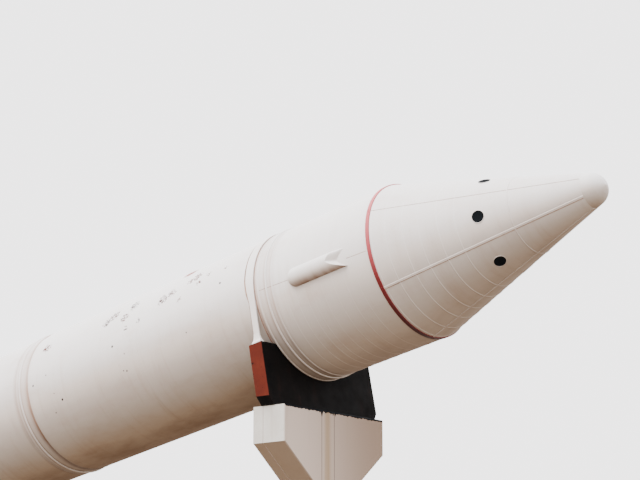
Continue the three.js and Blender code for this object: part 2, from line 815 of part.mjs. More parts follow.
function aftDome() {
  const rim = SKIRT.flangeInner - SEAM;
  const back = HOUSING.front + SEAM;
  return turned([
    [domeFront, 0],
    [domeFront, rim],
    ...DOME_STEPS.map(({ aft, inwards }) => [domeFront - aft, rim - inwards]),
    [back + DOME_NECK.ahead, rim - DOME_NECK.inwards],
    [back, HOUSING.radius + DOME_NECK.collar],
    [back, 0],
  ]);
}

addPiece(gimbal, "aft_dome", aftDome(), "insulation");

// Steering ring round the throat, with a pair of ears and a fixed pin for each rod
const ROD_EYE = { radius: 675, eyeRadius: 44, halfWidth: 18, pin: 15, pinGap: 8, sideGap: 16 };
const STEERING_RING = { halfLength: 45, outer: 545, earBury: 20, pinInset: 5 };

function steeringRing() {
  const { halfLength, outer, earBury, pinInset } = STEERING_RING;
  const band = sleeve(halfLength, -halfLength, COLLAR.radius + SEAM, outer);
  const lugs = ACTUATORS.flatMap(({ azimuth }) => {
    const place = frameAt(azimuth, 0, ROD_EYE.radius).multiply(new THREE.Matrix4().makeRotationX(Math.PI));
    const halfGap = ROD_EYE.halfWidth + ROD_EYE.sideGap;
    const half = halfGap + LUG.thickness - pinInset;
    const side = radialOf(azimuth + 90);
    const middle = radialOf(azimuth).multiplyScalar(ROD_EYE.radius);
    const pin = bar(
      middle.clone().addScaledVector(side, -half),
      middle.clone().addScaledVector(side, half),
      ROD_EYE.pin,
      16,
    );
    return [...ears(place, ROD_EYE.radius - outer + earBury, halfGap, 0), pin];
  });
  return joined([band, ...lugs]);
}

addPiece(gimbal, "steering_ring", steeringRing(), "steel");

// Steering actuators: each lies between its eye on the skirt and its eye on the steering ring
const CYLINDER = { radius: 62, start: 70, end: 372, neck: 22, eyeRadius: 38 };
const ROD = { radius: 19, start: 300, gap: 0.4, travel: 60, eyeRoot: 30 };
const PIN_HEAD = 8;
const CUT = 5;

ACTUATORS.forEach(({ name, azimuth }) => {
  const outwards = radialOf(azimuth);
  const fixed = outwards.clone().multiplyScalar(FIXED_EYE.radius).setX(at(STATION.actuatorPivot));
  const moving = outwards.clone().multiplyScalar(ROD_EYE.radius).setX(at(STATION.gimbal));
  const direction = moving.clone().sub(fixed).normalize();
  const side = outwards.clone().cross(new THREE.Vector3(1, 0, 0));
  const span = moving.distanceTo(fixed);
  const along = (distance, across = 0) =>
    fixed.clone().addScaledVector(direction, distance).addScaledVector(side, across);

  const pinHalf = FIXED_EYE.halfWidth + LUG.gap + LUG.thickness + PIN_HEAD;
  const barrel = bar(along(CYLINDER.start), along(CYLINDER.end), CYLINDER.radius, 20).subtract(
    bar(along(ROD.start - ROD.travel), along(CYLINDER.end + CUT), ROD.radius + ROD.gap),
  );
  const cylinder = joined([
    barrel,
    bar(along(0), along(CYLINDER.start + CUT), CYLINDER.neck),
    bar(along(0, -FIXED_EYE.halfWidth), along(0, FIXED_EYE.halfWidth), CYLINDER.eyeRadius, 20),
    bar(along(0, -pinHalf), along(0, pinHalf), FIXED_EYE.pin),
  ]);
  addPiece(booster, `${name}_actuator_cylinder`, cylinder, "steel");

  const rod = joined([
    bar(along(ROD.start), along(span - ROD.eyeRoot), ROD.radius),
    bar(along(span, -ROD_EYE.halfWidth), along(span, ROD_EYE.halfWidth), ROD_EYE.eyeRadius, 24),
  ]).subtract(
    bar(
      along(span, -2 * ROD_EYE.halfWidth),
      along(span, 2 * ROD_EYE.halfWidth),
      ROD_EYE.pin + ROD_EYE.pinGap,
      24,
    ),
  );
  addPiece(booster, `${name}_actuator_rod`, rod, "steel");
});

// Display supports: a saddle and a strap round the case at each station, on a hammerhead pier
const PIER = {
  halfThickness: 237,
  halfWidth: 910,
  capDepth: 420,
  haunchSlope: 0.81,
  stemHalf: 380,
  bury: 10,
};
const FOOTING = { halfLength: 420, halfWidth: 760, height: 120 };
const CRADLE_STEPS = 20;

function saddleWeb(middle) {
  const { halfLength, halfWidth, hornDrop } = SADDLE;
  const inner = CASE_RADIUS + SEAM;
  const hornAngle = THREE.MathUtils.radToDeg(Math.asin(hornDrop / inner));
  const cradle = arc(0, 0, roundOutside(inner), -hornAngle, -180 + hornAngle, CRADLE_STEPS);
  const deep = hornDrop + SADDLE.drop;
  const outline = [
    ...cradle,
    [-halfWidth, -hornDrop],
    [-halfWidth, -deep],
    [halfWidth, -deep],
    [halfWidth, -hornDrop],
  ];
  return extrudedForwards(outline, middle - halfLength, middle + halfLength);
}

function strap(middle) {
  const inner = CASE_RADIUS + SEAM;
  const { thickness, bury, halfWidth, neckHalf, lap, steps, offset } = STRAP;
  const low = -SADDLE.hornDrop + SEAM;
  const band = [
    ...arc(0, 0, inner + thickness, 0, 180, steps),
    ...arc(0, 0, inner - bury, 180, 0, steps),
  ];
  const legs = [1, -1].map((hand) => {
    const outer = hand * (inner + thickness);
    const outline = [[hand * inner, low + lap], [outer, low + lap], [outer, lap], [hand * inner, lap]];
    return extrudedForwards(outline, middle - neckHalf, middle + neckHalf);
  });
  const feet = [1, -1].map((hand) => {
    const { toe, innerTop, outerTop, outer, sole, height, halfLength } = STRAP_FOOT;
    const outline = [
      [hand * toe, low],
      [hand * outer, low],
      [hand * outer, low + sole],
      [hand * outerTop, low + height],
      [hand * innerTop, low + height],
    ];
    return extrudedForwards(outline, middle - halfLength, middle + halfLength);
  });
  const over = extrudedForwards(band, middle + offset - halfWidth, middle + offset + halfWidth);
  return joined([over, ...legs, ...feet]).subtract(clearOfCase);
}

// Outline of a pier seen from the front, with its cap, its sloped haunches and its stem
function pier(top) {
  const { halfWidth, capDepth, haunchSlope, stemHalf, halfThickness, bury } = PIER;
  const haunch = Math.min((halfWidth - stemHalf) * haunchSlope, top - capDepth - FOOTING.height);
  const stem = halfWidth - haunch / haunchSlope;
  const haunchFoot = top - capDepth - haunch;
  const side = [[halfWidth, top], [halfWidth, top - capDepth], [stem, haunchFoot]];
  side.push([stem, Math.min(haunchFoot, FOOTING.height) - bury]);
  const mirrored = side.map(([across, up]) => [-across, up]).reverse();
  const footing = new THREE.BoxGeometry(2 * FOOTING.halfLength, 2 * FOOTING.halfWidth, FOOTING.height);
  return joined([
    extrudedForwards([...side, ...mirrored], -halfThickness, halfThickness),
    solidOf(footing.translate(0, 0, FOOTING.height / 2)),
  ]);
}

SUPPORTS.forEach(({ name, station }) => {
  const axisPoint = new THREE.Vector3(at(station), 0, 0).applyMatrix4(booster.matrixWorld);
  const pierTop = axisPoint.z - SADDLE.drop;
  const base = pierTop + SEAM;

  const large = 3 * SADDLE.drop;
  const below = new THREE.BoxGeometry(large, large, large).translate(axisPoint.x, 0, base - large / 2);
  const side = Math.SQRT2 * SADDLE.chamfer;
  const chamfers = [1, -1].map((hand) => {
    const wedge = new THREE.BoxGeometry(large, side, side)
      .rotateX(Math.PI / 4)
      .translate(axisPoint.x, hand * SADDLE.halfWidth, base);
    return solidOf(wedge);
  });
  const web = saddleWeb(at(station)).transform(booster.matrixWorld.elements);
  const saddle = [solidOf(below), ...chamfers].reduce((whole, cut) => whole.subtract(cut), web);
  addPiece(part, `${name}_saddle`, saddle, "rust");
  addPiece(booster, `${name}_strap`, strap(at(station)), "white");

  const mesh = addPiece(part, `${name}_pier`, pier(pierTop), "concrete");
  mesh.position.x = axisPoint.x + pierAhead;
});

export default part;
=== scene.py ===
"""Looks of a solid-propellant booster rocket, resting nose-up on two concrete display piers."""

import math

import bmesh
import bpy
from mathutils import Matrix, Vector, noise


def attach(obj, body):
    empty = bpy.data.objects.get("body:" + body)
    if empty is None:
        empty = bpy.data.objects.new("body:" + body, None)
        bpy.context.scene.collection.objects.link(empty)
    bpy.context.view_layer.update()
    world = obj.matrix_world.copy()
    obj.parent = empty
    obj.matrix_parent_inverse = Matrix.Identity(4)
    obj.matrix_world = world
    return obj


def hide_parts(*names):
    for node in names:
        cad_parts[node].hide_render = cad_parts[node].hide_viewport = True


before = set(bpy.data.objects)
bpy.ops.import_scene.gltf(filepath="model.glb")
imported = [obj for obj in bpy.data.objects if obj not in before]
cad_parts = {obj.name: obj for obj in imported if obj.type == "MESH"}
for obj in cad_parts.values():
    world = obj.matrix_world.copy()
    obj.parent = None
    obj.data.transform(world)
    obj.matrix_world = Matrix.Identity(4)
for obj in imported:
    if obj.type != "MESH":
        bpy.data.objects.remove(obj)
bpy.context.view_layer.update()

# Sizes in millimetres of the half-size model, which is drawn along its own axis, nose towards +X
RISE = math.radians(11.17)
STATION_PITCH = 12.7
DATUM_STATION = 401
CASE = 927.0
CONE = math.radians(17.1)
SLOPE = math.tan(CONE)
ROUND = 160
SEAM = 0.15


def at(station):
    """Forward distance of a station from the separation ring."""
    return (DATUM_STATION - station) * STATION_PITCH


FRONT_SADDLE, REAR_SADDLE = at(538.8), at(1762.5)
SADDLE_DROP, PIER_LEAD = 1288.5314, 1.8075
PIER_AHEAD = SADDLE_DROP * math.tan(RISE) + PIER_LEAD
DATUM = Vector((-FRONT_SADDLE * math.cos(RISE) - PIER_AHEAD, 0.0, 5460.0))
GIMBAL = at(1905)
SKIRT_FRONT, KNUCKLE, SKIRT_BASE = at(1837), at(1848), at(1930.6)
SKIRT_NECK, SKIRT_MOUTH, SKIRT_WALL = 950.0, 1322.5, 25.0
FLARE = (SKIRT_MOUTH - SKIRT_NECK) / (KNUCKLE - SKIRT_BASE)
FIELD_JOINTS = [at(851.5), at(1171.5), at(1491.5)]

MILLIMETRES = Matrix.Scale(0.001, 4)
BOOSTER = MILLIMETRES @ Matrix.Translation(DATUM) @ Matrix.Rotation(-RISE, 4, "Y")
NOZZLE = BOOSTER @ Matrix.Translation((GIMBAL, 0, 0))
WORLD = MILLIMETRES
AHEAD = Vector((1, 0, 0))


def radial(azimuth):
    """Outward direction at an azimuth in degrees: 0 outboard, 90 up, 180 inboard."""
    angle = math.radians(azimuth)
    return Vector((0, -math.cos(angle), math.sin(angle)))


def frame_at(azimuth, forward, radius):
    """Axes at a point on the booster: forwards, sideways round it, outwards."""
    out = radial(azimuth)
    side = out.cross(AHEAD)
    place = Matrix((AHEAD, side, out)).transposed().to_4x4()
    place.translation = out * radius + AHEAD * forward
    return place


def cone_radius(forward):
    """Radius of the nose cone's wall."""
    return CASE - SLOPE * forward


def skirt_radius(forward):
    """Radius of the flared aft skirt's wall."""
    return SKIRT_NECK + max(0.0, KNUCKLE - forward) * FLARE


def arc(centre, radius, start, end, steps):
    """Points of an arc round (forward, out), with angles in degrees from forward."""
    turns = [math.radians(start + (end - start) * i / steps) for i in range(steps + 1)]
    return [(centre[0] + radius * math.cos(t), centre[1] + radius * math.sin(t)) for t in turns]


# Finishes


def srgb(red, green, blue):
    """A colour read off a display, as scene light."""
    return tuple(
        c / 12.92 if c <= 0.04045 else ((c + 0.055) / 1.055) ** 2.4
        for c in (red / 255, green / 255, blue / 255)
    ) + (1.0,)


class Finish:
    """One material, and the few kinds of node that the finishes share."""

    def __init__(self, name, roughness=0.6, metallic=0.0, specular=0.5):
        self.material = bpy.data.materials.new(name)
        self.material.use_nodes = True
        self.tree = self.material.node_tree
        self.shader = self.tree.nodes["Principled BSDF"]
        self.shader.inputs["Roughness"].default_value = roughness
        self.shader.inputs["Metallic"].default_value = metallic
        self.shader.inputs["Specular IOR Level"].default_value = specular

    def node(self, kind, inputs=None, **settings):
        """A shader node with its settings and its inputs, each a value or another node's output."""
        made = self.tree.nodes.new("ShaderNode" + kind)
        for name, value in settings.items():
            setattr(made, name, value)
        for key, value in (inputs or {}).items():
            self.feed(made.inputs[key], value)
        return made

    def feed(self, socket, value):
        if isinstance(value, bpy.types.NodeSocket):
            self.tree.links.new(value, socket)
        else:
            socket.default_value = value

    def place(self, scale=(1, 1, 1), along_booster=True):
        """Object coordinates in metres, along the booster or upright, stretched by a scale."""
        spot = self.node("TexCoord").outputs["Object"]
        if along_booster:
            straight = {"Vector": spot, "Location": DATUM / 1000, "Rotation": (0, -RISE, 0)}
            spot = self.node("Mapping", straight, vector_type="TEXTURE").outputs["Vector"]
        return self.node("Mapping", {"Vector": spot, "Scale": scale}).outputs["Vector"]

    def noise(self, place, scale, detail=5.0, roughness=0.55, distortion=0.0):
        inputs = {"Vector": place, "Scale": scale, "Detail": detail}
        inputs.update({"Roughness": roughness, "Distortion": distortion})
        return self.node("TexNoise", inputs).outputs["Fac"]

    def rings(self, scale, distortion):
        """Waves along the booster's axis."""
        inputs = {"Vector": self.place(), "Scale": scale, "Distortion": distortion}
        return self.node("TexWave", inputs, bands_direction="X").outputs["Fac"]

    def sum(self, operation, first, second=0.0):
        return self.node("Math", {0: first, 1: second}, operation=operation).outputs[0]

    def spread(self, value, low, high, to_low=0.0, to_high=1.0):
        """A value eased from one span onto another."""
        span = {"From Min": low, "From Max": high, "To Min": to_low, "To Max": to_high}
        made = self.node("MapRange", {"Value": value, **span}, interpolation_type="SMOOTHSTEP")
        return made.outputs["Result"]

    def mix(self, share, first, second, blend="MIX"):
        made = self.node("Mix", data_type="RGBA", blend_type=blend)
        sockets = {socket.identifier: socket for socket in made.inputs}
        for name, value in (("Factor_Float", share), ("A_Color", first), ("B_Color", second)):
            self.feed(sockets[name], value)
        return next(socket for socket in made.outputs if socket.identifier == "Result_Color")

    def ramp(self, value, stops):
        """A colour by a value, from stops of (position, display colour)."""
        made = self.node("ValToRGB", {"Fac": value})
        band = made.color_ramp
        while len(band.elements) < len(stops):
            band.elements.new(0.5)
        for element, (position, colour) in zip(band.elements, stops):
            element.position = position
            element.color = srgb(*colour)
        return made.outputs["Color"]

    def facing(self, axis):
        """How far the surface faces along a world axis, -1 to 1."""
        normal = self.node("NewGeometry").outputs["Normal"]
        return self.node("SeparateXYZ", {"Vector": normal}).outputs[axis]

    def upward(self):
        """From 0 underneath to 1 on top: half by where the surface faces, half by where it is."""
        side = self.node("SeparateXYZ", {"Vector": self.place()}).outputs
        across, up = (self.sum("MULTIPLY", side[axis], side[axis]) for axis in "YZ")
        away = self.sum("SQRT", self.sum("ADD", across, up))
        lies = self.sum("DIVIDE", side["Z"], self.sum("MAXIMUM", away, 0.01))
        both = self.sum("ADD", lies, self.facing("Z"))
        return self.sum("ADD", self.sum("MULTIPLY", both, 0.25), 0.5)

    def attribute(self, name):
        return self.node("Attribute", attribute_name=name).outputs["Fac"]

    def near(self, place, spots, solid, ragged=0.0):
        """1 within a solid share of each spot's reach, 0 beyond it. Spots lie on the case."""
        nearest = 0.0
        for forward, azimuth, reach in spots:
            ends = {0: place, 1: on_case(forward, azimuth)}
            away = self.node("VectorMath", ends, operation="DISTANCE").outputs["Value"]
            here = self.spread(self.sum("ADD", away, ragged), reach, reach * solid)
            nearest = self.sum("MAXIMUM", here, nearest)
        return nearest

    def bump(self, height, strength, distance, onto=None):
        inputs = {"Height": height, "Strength": strength, "Distance": distance}
        if onto is not None:
            inputs["Normal"] = onto
        return self.node("Bump", inputs).outputs["Normal"]

    def done(self, colour, roughness=None, normal=None):
        self.feed(self.shader.inputs["Base Color"], colour)
        if roughness is not None:
            self.feed(self.shader.inputs["Roughness"], roughness)
        if normal is not None:
            self.feed(self.shader.inputs["Normal"], normal)
        return self.material


# Marks on the case, read off the photo: metres forward, azimuth in degrees, reach in metres
FLECKS = [
    (-3.23, 31, 0.14),
    (-3.1, 34, 0.11),
    (-2.92, 23, 0.07),
    (-4.2, 32, 0.12),
    (-4.1, 37, 0.13),
    (-3.88, 29, 0.12),
    (-3.82, 18, 0.06),
    (-3.61, 20, 0.06),
    (-3.77, 39, 0.13),
    (-2.72, 42, 0.13),
    (-2.64, 33, 0.07),
    (-2.82, 39, 0.08),
    (-5.31, 33, 0.12),
    (-2.22, 37.5, 0.06),
    (-2.52, 38, 0.07),
    (-7.1, 25, 0.16),
    (-9.4, 38, 0.2),
    (-11.2, 20, 0.15),
    (-3.6, 135, 0.2),
    (-6.8, 120, 0.2),
    (-10.1, 128, 0.22),
    (-13, 40, 0.2),
]
CHIPS = [
    (-4.04, 7, 0.018),
    (-5.02, -17, 0.018),
    (-3.87, -15.5, 0.012),
    (-3.92, -14.5, 0.01),
    (-5.2, -24.5, 0.01),
    (-5.13, -10, 0.008),
    (-5.47, 2.5, 0.015),
    (-5.23, 6.5, 0.01),
    (-2.82, -6, 0.01),
    (-2.25, 22, 0.018),
    (-3.85, -2.5, 0.008),
    (-8.2, 9, 0.014),
    (-12.4, -4, 0.014),
]
RUST = [(-5.6, 58, 0.13), (-2.98, 58, 0.13), (-8.8, 62, 0.12)]


def on_case(forward, azimuth):
    """A point on the case, in metres."""
    point = radial(azimuth) * (CASE / 1000)
    point.x = forward
    return tuple(point)


# White paint from underneath to on top, both darker underneath in painted shade: clean, and as
# grimy as it gets, where grime adds brown
CLEAN_WHITE_SHADED = [(0.0, (176, 166, 158)), (0.5, (206, 203, 201)), (1.0, (222, 222, 223))]
GRIMY_WHITE_SHADED = [
    (0.0, (102, 83, 66)),
    (0.05, (130, 114, 98)),
    (0.12, (142, 131, 120)),
    (0.2, (155, 146, 138)),
    (0.3, (165, 156, 149)),
    (0.4, (184, 175, 168)),
    (0.5, (194, 190, 188)),
    (0.62, (208, 206, 206)),
    (1.0, (222, 222, 223)),
]


def white_paint(name, marks=False, dirt_and_shade=1.0):
    """White paint, darker and browner underneath from grime and painted shade, with faint rain
    streaks and brown at its joints.
    """
    f = Finish(name, roughness=0.6, specular=0.2)
    straight = f.place()
    broad = f.noise(straight, 0.8, 4.0, 0.6)
    clouds = f.noise(f.place((0.5, 1.1, 1.1)), 2.2, 5.0, 0.65)
    streaks = f.noise(f.place((9.0, 0.9, 0.9)), 1.0, 6.0, 0.65)
    grain = f.noise(straight, 60.0, 4.0, 0.6)
    speckle = f.noise(straight, 22.0, 6.0, 0.7)
    height = f.facing("Z")
    # Painted shade: the colour darkens towards the underside by where the surface lies and which
    # way it faces, and the grimy ramp adds brown grime to it
    upward = f.sum("ADD", f.upward(), f.spread(clouds, 0.25, 0.75, 0.018, -0.018))
    colour = f.mix(dirt_and_shade, f.ramp(upward, CLEAN_WHITE_SHADED), f.ramp(upward, GRIMY_WHITE_SHADED))
    colour = f.mix(f.spread(broad, 0.3, 0.7, 0.0, 0.5), colour, srgb(250, 246, 244), "MULTIPLY")
    colour = f.mix(f.spread(clouds, 0.5, 0.75, 0.0, 0.6), colour, srgb(246, 238, 234), "MULTIPLY")
    streaked = f.spread(streaks, 0.5, 0.8)
    streaked = f.sum("MULTIPLY", streaked, f.spread(height, 0.9, -0.5, 0.08, 0.5))
    colour = f.mix(streaked, colour, srgb(232, 220, 210), "MULTIPLY")
    colour = f.mix(f.spread(speckle, 0.58, 0.8, 0.0, 0.5), colour, srgb(226, 216, 208), "MULTIPLY")
    # Brown at joints, and painted shade on the blister's lower side, from the per-point value;
    # stronger on faces that look down and darker underneath, which is painted shade too
    joints_and_shade = f.sum("MULTIPLY", f.attribute("stain_and_shade"), f.spread(streaks, 0.25, 0.6, 0.6, 1.0))
    joints_and_shade = f.sum("MULTIPLY", joints_and_shade, f.spread(height, 0.7, -0.6, 0.6, 1.0))
    colour = f.mix(joints_and_shade, colour, f.ramp(upward, [(0.1, (62, 45, 34)), (0.5, (136, 98, 74))]))
    if marks:
        torn = f.noise(f.place((38, 38, 38)), 1.0, 7.0, 0.72, 0.4)
        reach = f.near(straight, FLECKS, 0.3)
        flecks = f.spread(f.sum("ADD", torn, f.sum("MULTIPLY", reach, 0.17)), 0.665, 0.68)
        flecks = f.sum("MULTIPLY", flecks, f.spread(reach, 0.05, 0.4))
        bare = f.mix(f.spread(broad, 0.45, 0.55), srgb(40, 32, 34), srgb(84, 36, 26))
        colour = f.mix(flecks, colour, bare)
        ragged = f.sum("MULTIPLY", f.sum("SUBTRACT", torn, 0.5), 0.03)
        colour = f.mix(f.near(straight, CHIPS, 0.6, ragged), colour, srgb(36, 22, 22))
        rusty = f.sum("MULTIPLY", f.near(straight, RUST, 0.4), f.spread(torn, 0.4, 0.46))
        colour = f.mix(rusty, colour, srgb(128, 40, 20))
    rough = f.spread(f.sum("SUBTRACT", grain, height), -0.6, 1.4, 0.5, 0.85)
    dents = f.noise(straight, 1.7, 2.0, 0.4)
    shape = f.bump(dents, 0.35, 0.012)
    shape = f.bump(grain, 0.06, 0.0015, shape)
    return f.done(colour, rough, shape)


def faded_red():
    """Red paint, bleached pink with painted light where it faces the sky, and dark with painted
    shade underneath.
    """
    f = Finish("faded_red_paint", roughness=0.55, specular=0.2)
    straight = f.place()
    patch = f.noise(straight, 5.0, 5.0, 0.6)
    stops = [
        (0.0, (38, 4, 6)),
        (0.3, (90, 20, 22)),
        (0.5, (142, 54, 60)),
        (0.75, (170, 82, 88)),
        (0.95, (188, 108, 112)),
    ]
    # Painted light and shade: the red runs from pink on top to near black underneath by where it
    # lies and faces
    colour = f.ramp(f.upward(), stops)
    colour = f.mix(f.spread(patch, 0.5, 0.8, 0.0, 0.5), colour, srgb(226, 206, 204), "MULTIPLY")
    return f.done(colour, f.spread(patch, 0.2, 0.8, 0.48, 0.66), f.bump(patch, 0.1, 0.002))


def mastic():
    """Sealant along seams, tan to brown."""
    f = Finish("seam_mastic", roughness=0.75)
    patch = f.noise(f.place(), 9.0, 5.0, 0.65)
    colour = f.ramp(patch, [(0.3, (90, 62, 50)), (0.5, (122, 90, 74)), (0.7, (158, 126, 106))])
    return f.done(colour, None, f.bump(f.noise(f.place(), 70.0), 0.3, 0.001))


def port_black():
    """Matt black on the port covers and the sealant."""
    f = Finish("port_cover_black", roughness=0.55, specular=0.05)
    patch = f.noise(f.place(), 14.0, 5.0, 0.6)
    colour = f.ramp(patch, [(0.3, (2, 4, 7)), (0.7, (7, 11, 15))])
    return f.done(colour, f.spread(patch, 0.3, 0.7, 0.6, 0.8), f.bump(patch, 0.15, 0.002))


def red_oxide():
    """Red oxide primer on the saddles' ends, chipped along their edges; every other face is painted
    shade, near black.
    """
    f = Finish("saddle_red_oxide_and_shade", roughness=0.8, specular=0.05)
    upright = f.place(along_booster=False)
    drips = f.noise(f.place((7, 7, 0.8), along_booster=False), 1.0, 5.0, 0.6)
    patch = f.noise(upright, 6.0, 6.0, 0.65)
    oxide = f.ramp(patch, [(0.3, (67, 24, 17)), (0.55, (76, 29, 20)), (0.8, (88, 38, 28))])
    # Painted shade: every face but the ends is near black, with faint rusty drips
    dark = f.ramp(drips, [(0.3, (4, 4, 5)), (0.6, (9, 7, 7)), (0.8, (26, 12, 10))])
    sideways = f.spread(f.sum("ABSOLUTE", f.facing("Y")), 0.86, 0.95)
    colour = f.mix(sideways, dark, oxide)
    near_edge = f.sum("MULTIPLY", f.attribute("edge"), 0.11)
    chips = f.spread(f.sum("ADD", f.noise(upright, 17.0, 5.0, 0.6), near_edge), 0.69, 0.71)
    colour = f.mix(chips, colour, srgb(10, 8, 8))
    return f.done(colour, f.spread(patch, 0.3, 0.8, 0.7, 0.9), f.bump(patch, 0.3, 0.004))


# The front pier's stained strip, in metres across it, between two thin joint lines
STAINED_STRIP = (-0.246, -0.017)


def concrete():
    """Pale concrete with fine pores and a brown run down its front, with painted shade on its
    fronts and backs, darker towards +Y, and warm painted shade on its undersides.
    """
    f = Finish("pier_concrete", roughness=0.85, specular=0.2)
    upright = f.place(along_booster=False)
    cloud = f.noise(upright, 2.2, 6.0, 0.65)
    runs = f.noise(f.place((10, 10, 0.5), along_booster=False), 1.0, 6.0, 0.6)
    pores = f.noise(upright, 120.0, 3.0, 0.6)
    colour = f.ramp(cloud, [(0.3, (168, 163, 156)), (0.5, (178, 174, 168)), (0.7, (188, 185, 180))])
    # Painted shade: faces that look along X are darker and browner than the ends, darker still
    # towards +Y
    front = f.spread(f.sum("ABSOLUTE", f.facing("X")), 0.5, 0.95)
    across = f.node("SeparateXYZ", {"Vector": upright}).outputs["Y"]
    side = f.mix(f.spread(across, -0.9, 0.9), srgb(172, 158, 148), srgb(126, 108, 94))
    colour = f.mix(front, colour, side)
    colour = f.mix(f.spread(runs, 0.5, 0.78, 0.0, 0.3), colour, srgb(134, 116, 100))
    # Painted shade, warm, on faces that look down
    colour = f.mix(f.spread(f.facing("Z"), -0.1, -0.7, 0.0, 0.9), colour, srgb(116, 96, 76))
    middle = sum(STAINED_STRIP) / 2
    away = f.sum("ABSOLUTE", f.sum("SUBTRACT", across, middle - 0.01))
    run = f.sum("MULTIPLY", f.spread(away, 0.085, 0.015), front)
    run = f.sum("MULTIPLY", run, f.spread(runs, 0.3, 0.62, 0.35, 0.85))
    colour = f.mix(run, colour, srgb(130, 108, 76))
    for edge in STAINED_STRIP:
        gap = f.sum("ABSOLUTE", f.sum("SUBTRACT", across, edge))
        line = f.sum("MULTIPLY", f.spread(gap, 0.009, 0.003), front)
        colour = f.mix(f.sum("MULTIPLY", line, 0.6), colour, srgb(62, 46, 36))
    colour = f.mix(f.spread(pores, 0.66, 0.72, 0.0, 0.35), colour, srgb(140, 132, 124))
    shape = f.bump(cloud, 0.25, 0.006)
    return f.done(colour, None, f.bump(pores, 0.4, 0.0015, shape))


def worn_metal(name, dull, bright, metallic, roughness, scale=8.0):
    """Metal with dull and bright patches and fine scratches."""
    f = Finish(name, metallic=metallic)
    patch = f.noise(f.place(), scale, 6.0, 0.65)
    scratch = f.noise(f.place((6, 60, 60)), 1.0, 4.0, 0.7)
    colour = f.mix(f.spread(patch, 0.35, 0.65), dull, bright)
    colour = f.mix(f.spread(scratch, 0.6, 0.8, 0.0, 0.35), colour, dull)
    rough = f.spread(patch, 0.3, 0.7, roughness + 0.12, roughness - 0.08)
    return f.done(colour, rough, f.bump(scratch, 0.12, 0.001))


def charred(name, dark, pale, scale):
    """Cloth-wrapped insulation: rings round the nozzle, sooted in patches."""
    f = Finish(name, roughness=0.85)
    patch = f.noise(f.place(), scale, 6.0, 0.7)
    wraps = f.rings(14.0, 1.5)
    colour = f.mix(f.spread(patch, 0.3, 0.7), dark, pale)
    colour = f.mix(f.spread(wraps, 0.0, 1.0, 0.0, 0.25), colour, dark)
    return f.done(colour, f.spread(patch, 0.3, 0.7, 0.75, 0.92), f.bump(wraps, 0.25, 0.003))


def rubber():
    """Dark rubber in thin layers."""
    f = Finish("bearing_rubber", roughness=0.7)
    layers = f.rings(40.0, 0.4)
    patch = f.noise(f.place(), 20.0)
    colour = f.mix(f.spread(patch, 0.3, 0.7), srgb(22, 22, 23), srgb(44, 42, 40))
    return f.done(colour, None, f.bump(layers, 0.4, 0.003))


# How much of the grimy ramp, with its grime and its deeper painted shade, each white takes: the
# nose and skirt pieces take less because they stand in more bounced light
WHITE = white_paint("weathered_white_paint", dirt_and_shade=0.75)
CASE_WHITE = white_paint("case_white_paint", marks=True)
INNER_WHITE = white_paint("sheltered_white_paint", dirt_and_shade=0.6)
STRAP_WHITE = white_paint("fresh_white_paint", dirt_and_shade=0.15)
RED = faded_red()
MASTIC = mastic()
BLACK = port_black()
OXIDE_AND_SHADE = red_oxide()
CONCRETE = concrete()
STEEL = worn_metal("bare_steel", srgb(122, 122, 123), srgb(164, 166, 168), 0.85, 0.38)
ZINC = worn_metal("dull_zinc", srgb(148, 143, 136), srgb(172, 169, 164), 0.5, 0.55, 20.0)
CHROME = worn_metal("rod_chrome", srgb(170, 172, 176), srgb(214, 216, 220), 1.0, 0.2)
CHARRED = charred("nozzle_insulation", srgb(40, 34, 30), srgb(86, 74, 64), 3.0)
LINER = charred("nozzle_liner", srgb(22, 20, 19), srgb(58, 52, 48), 5.0)
RUBBER = rubber()


# Making pieces


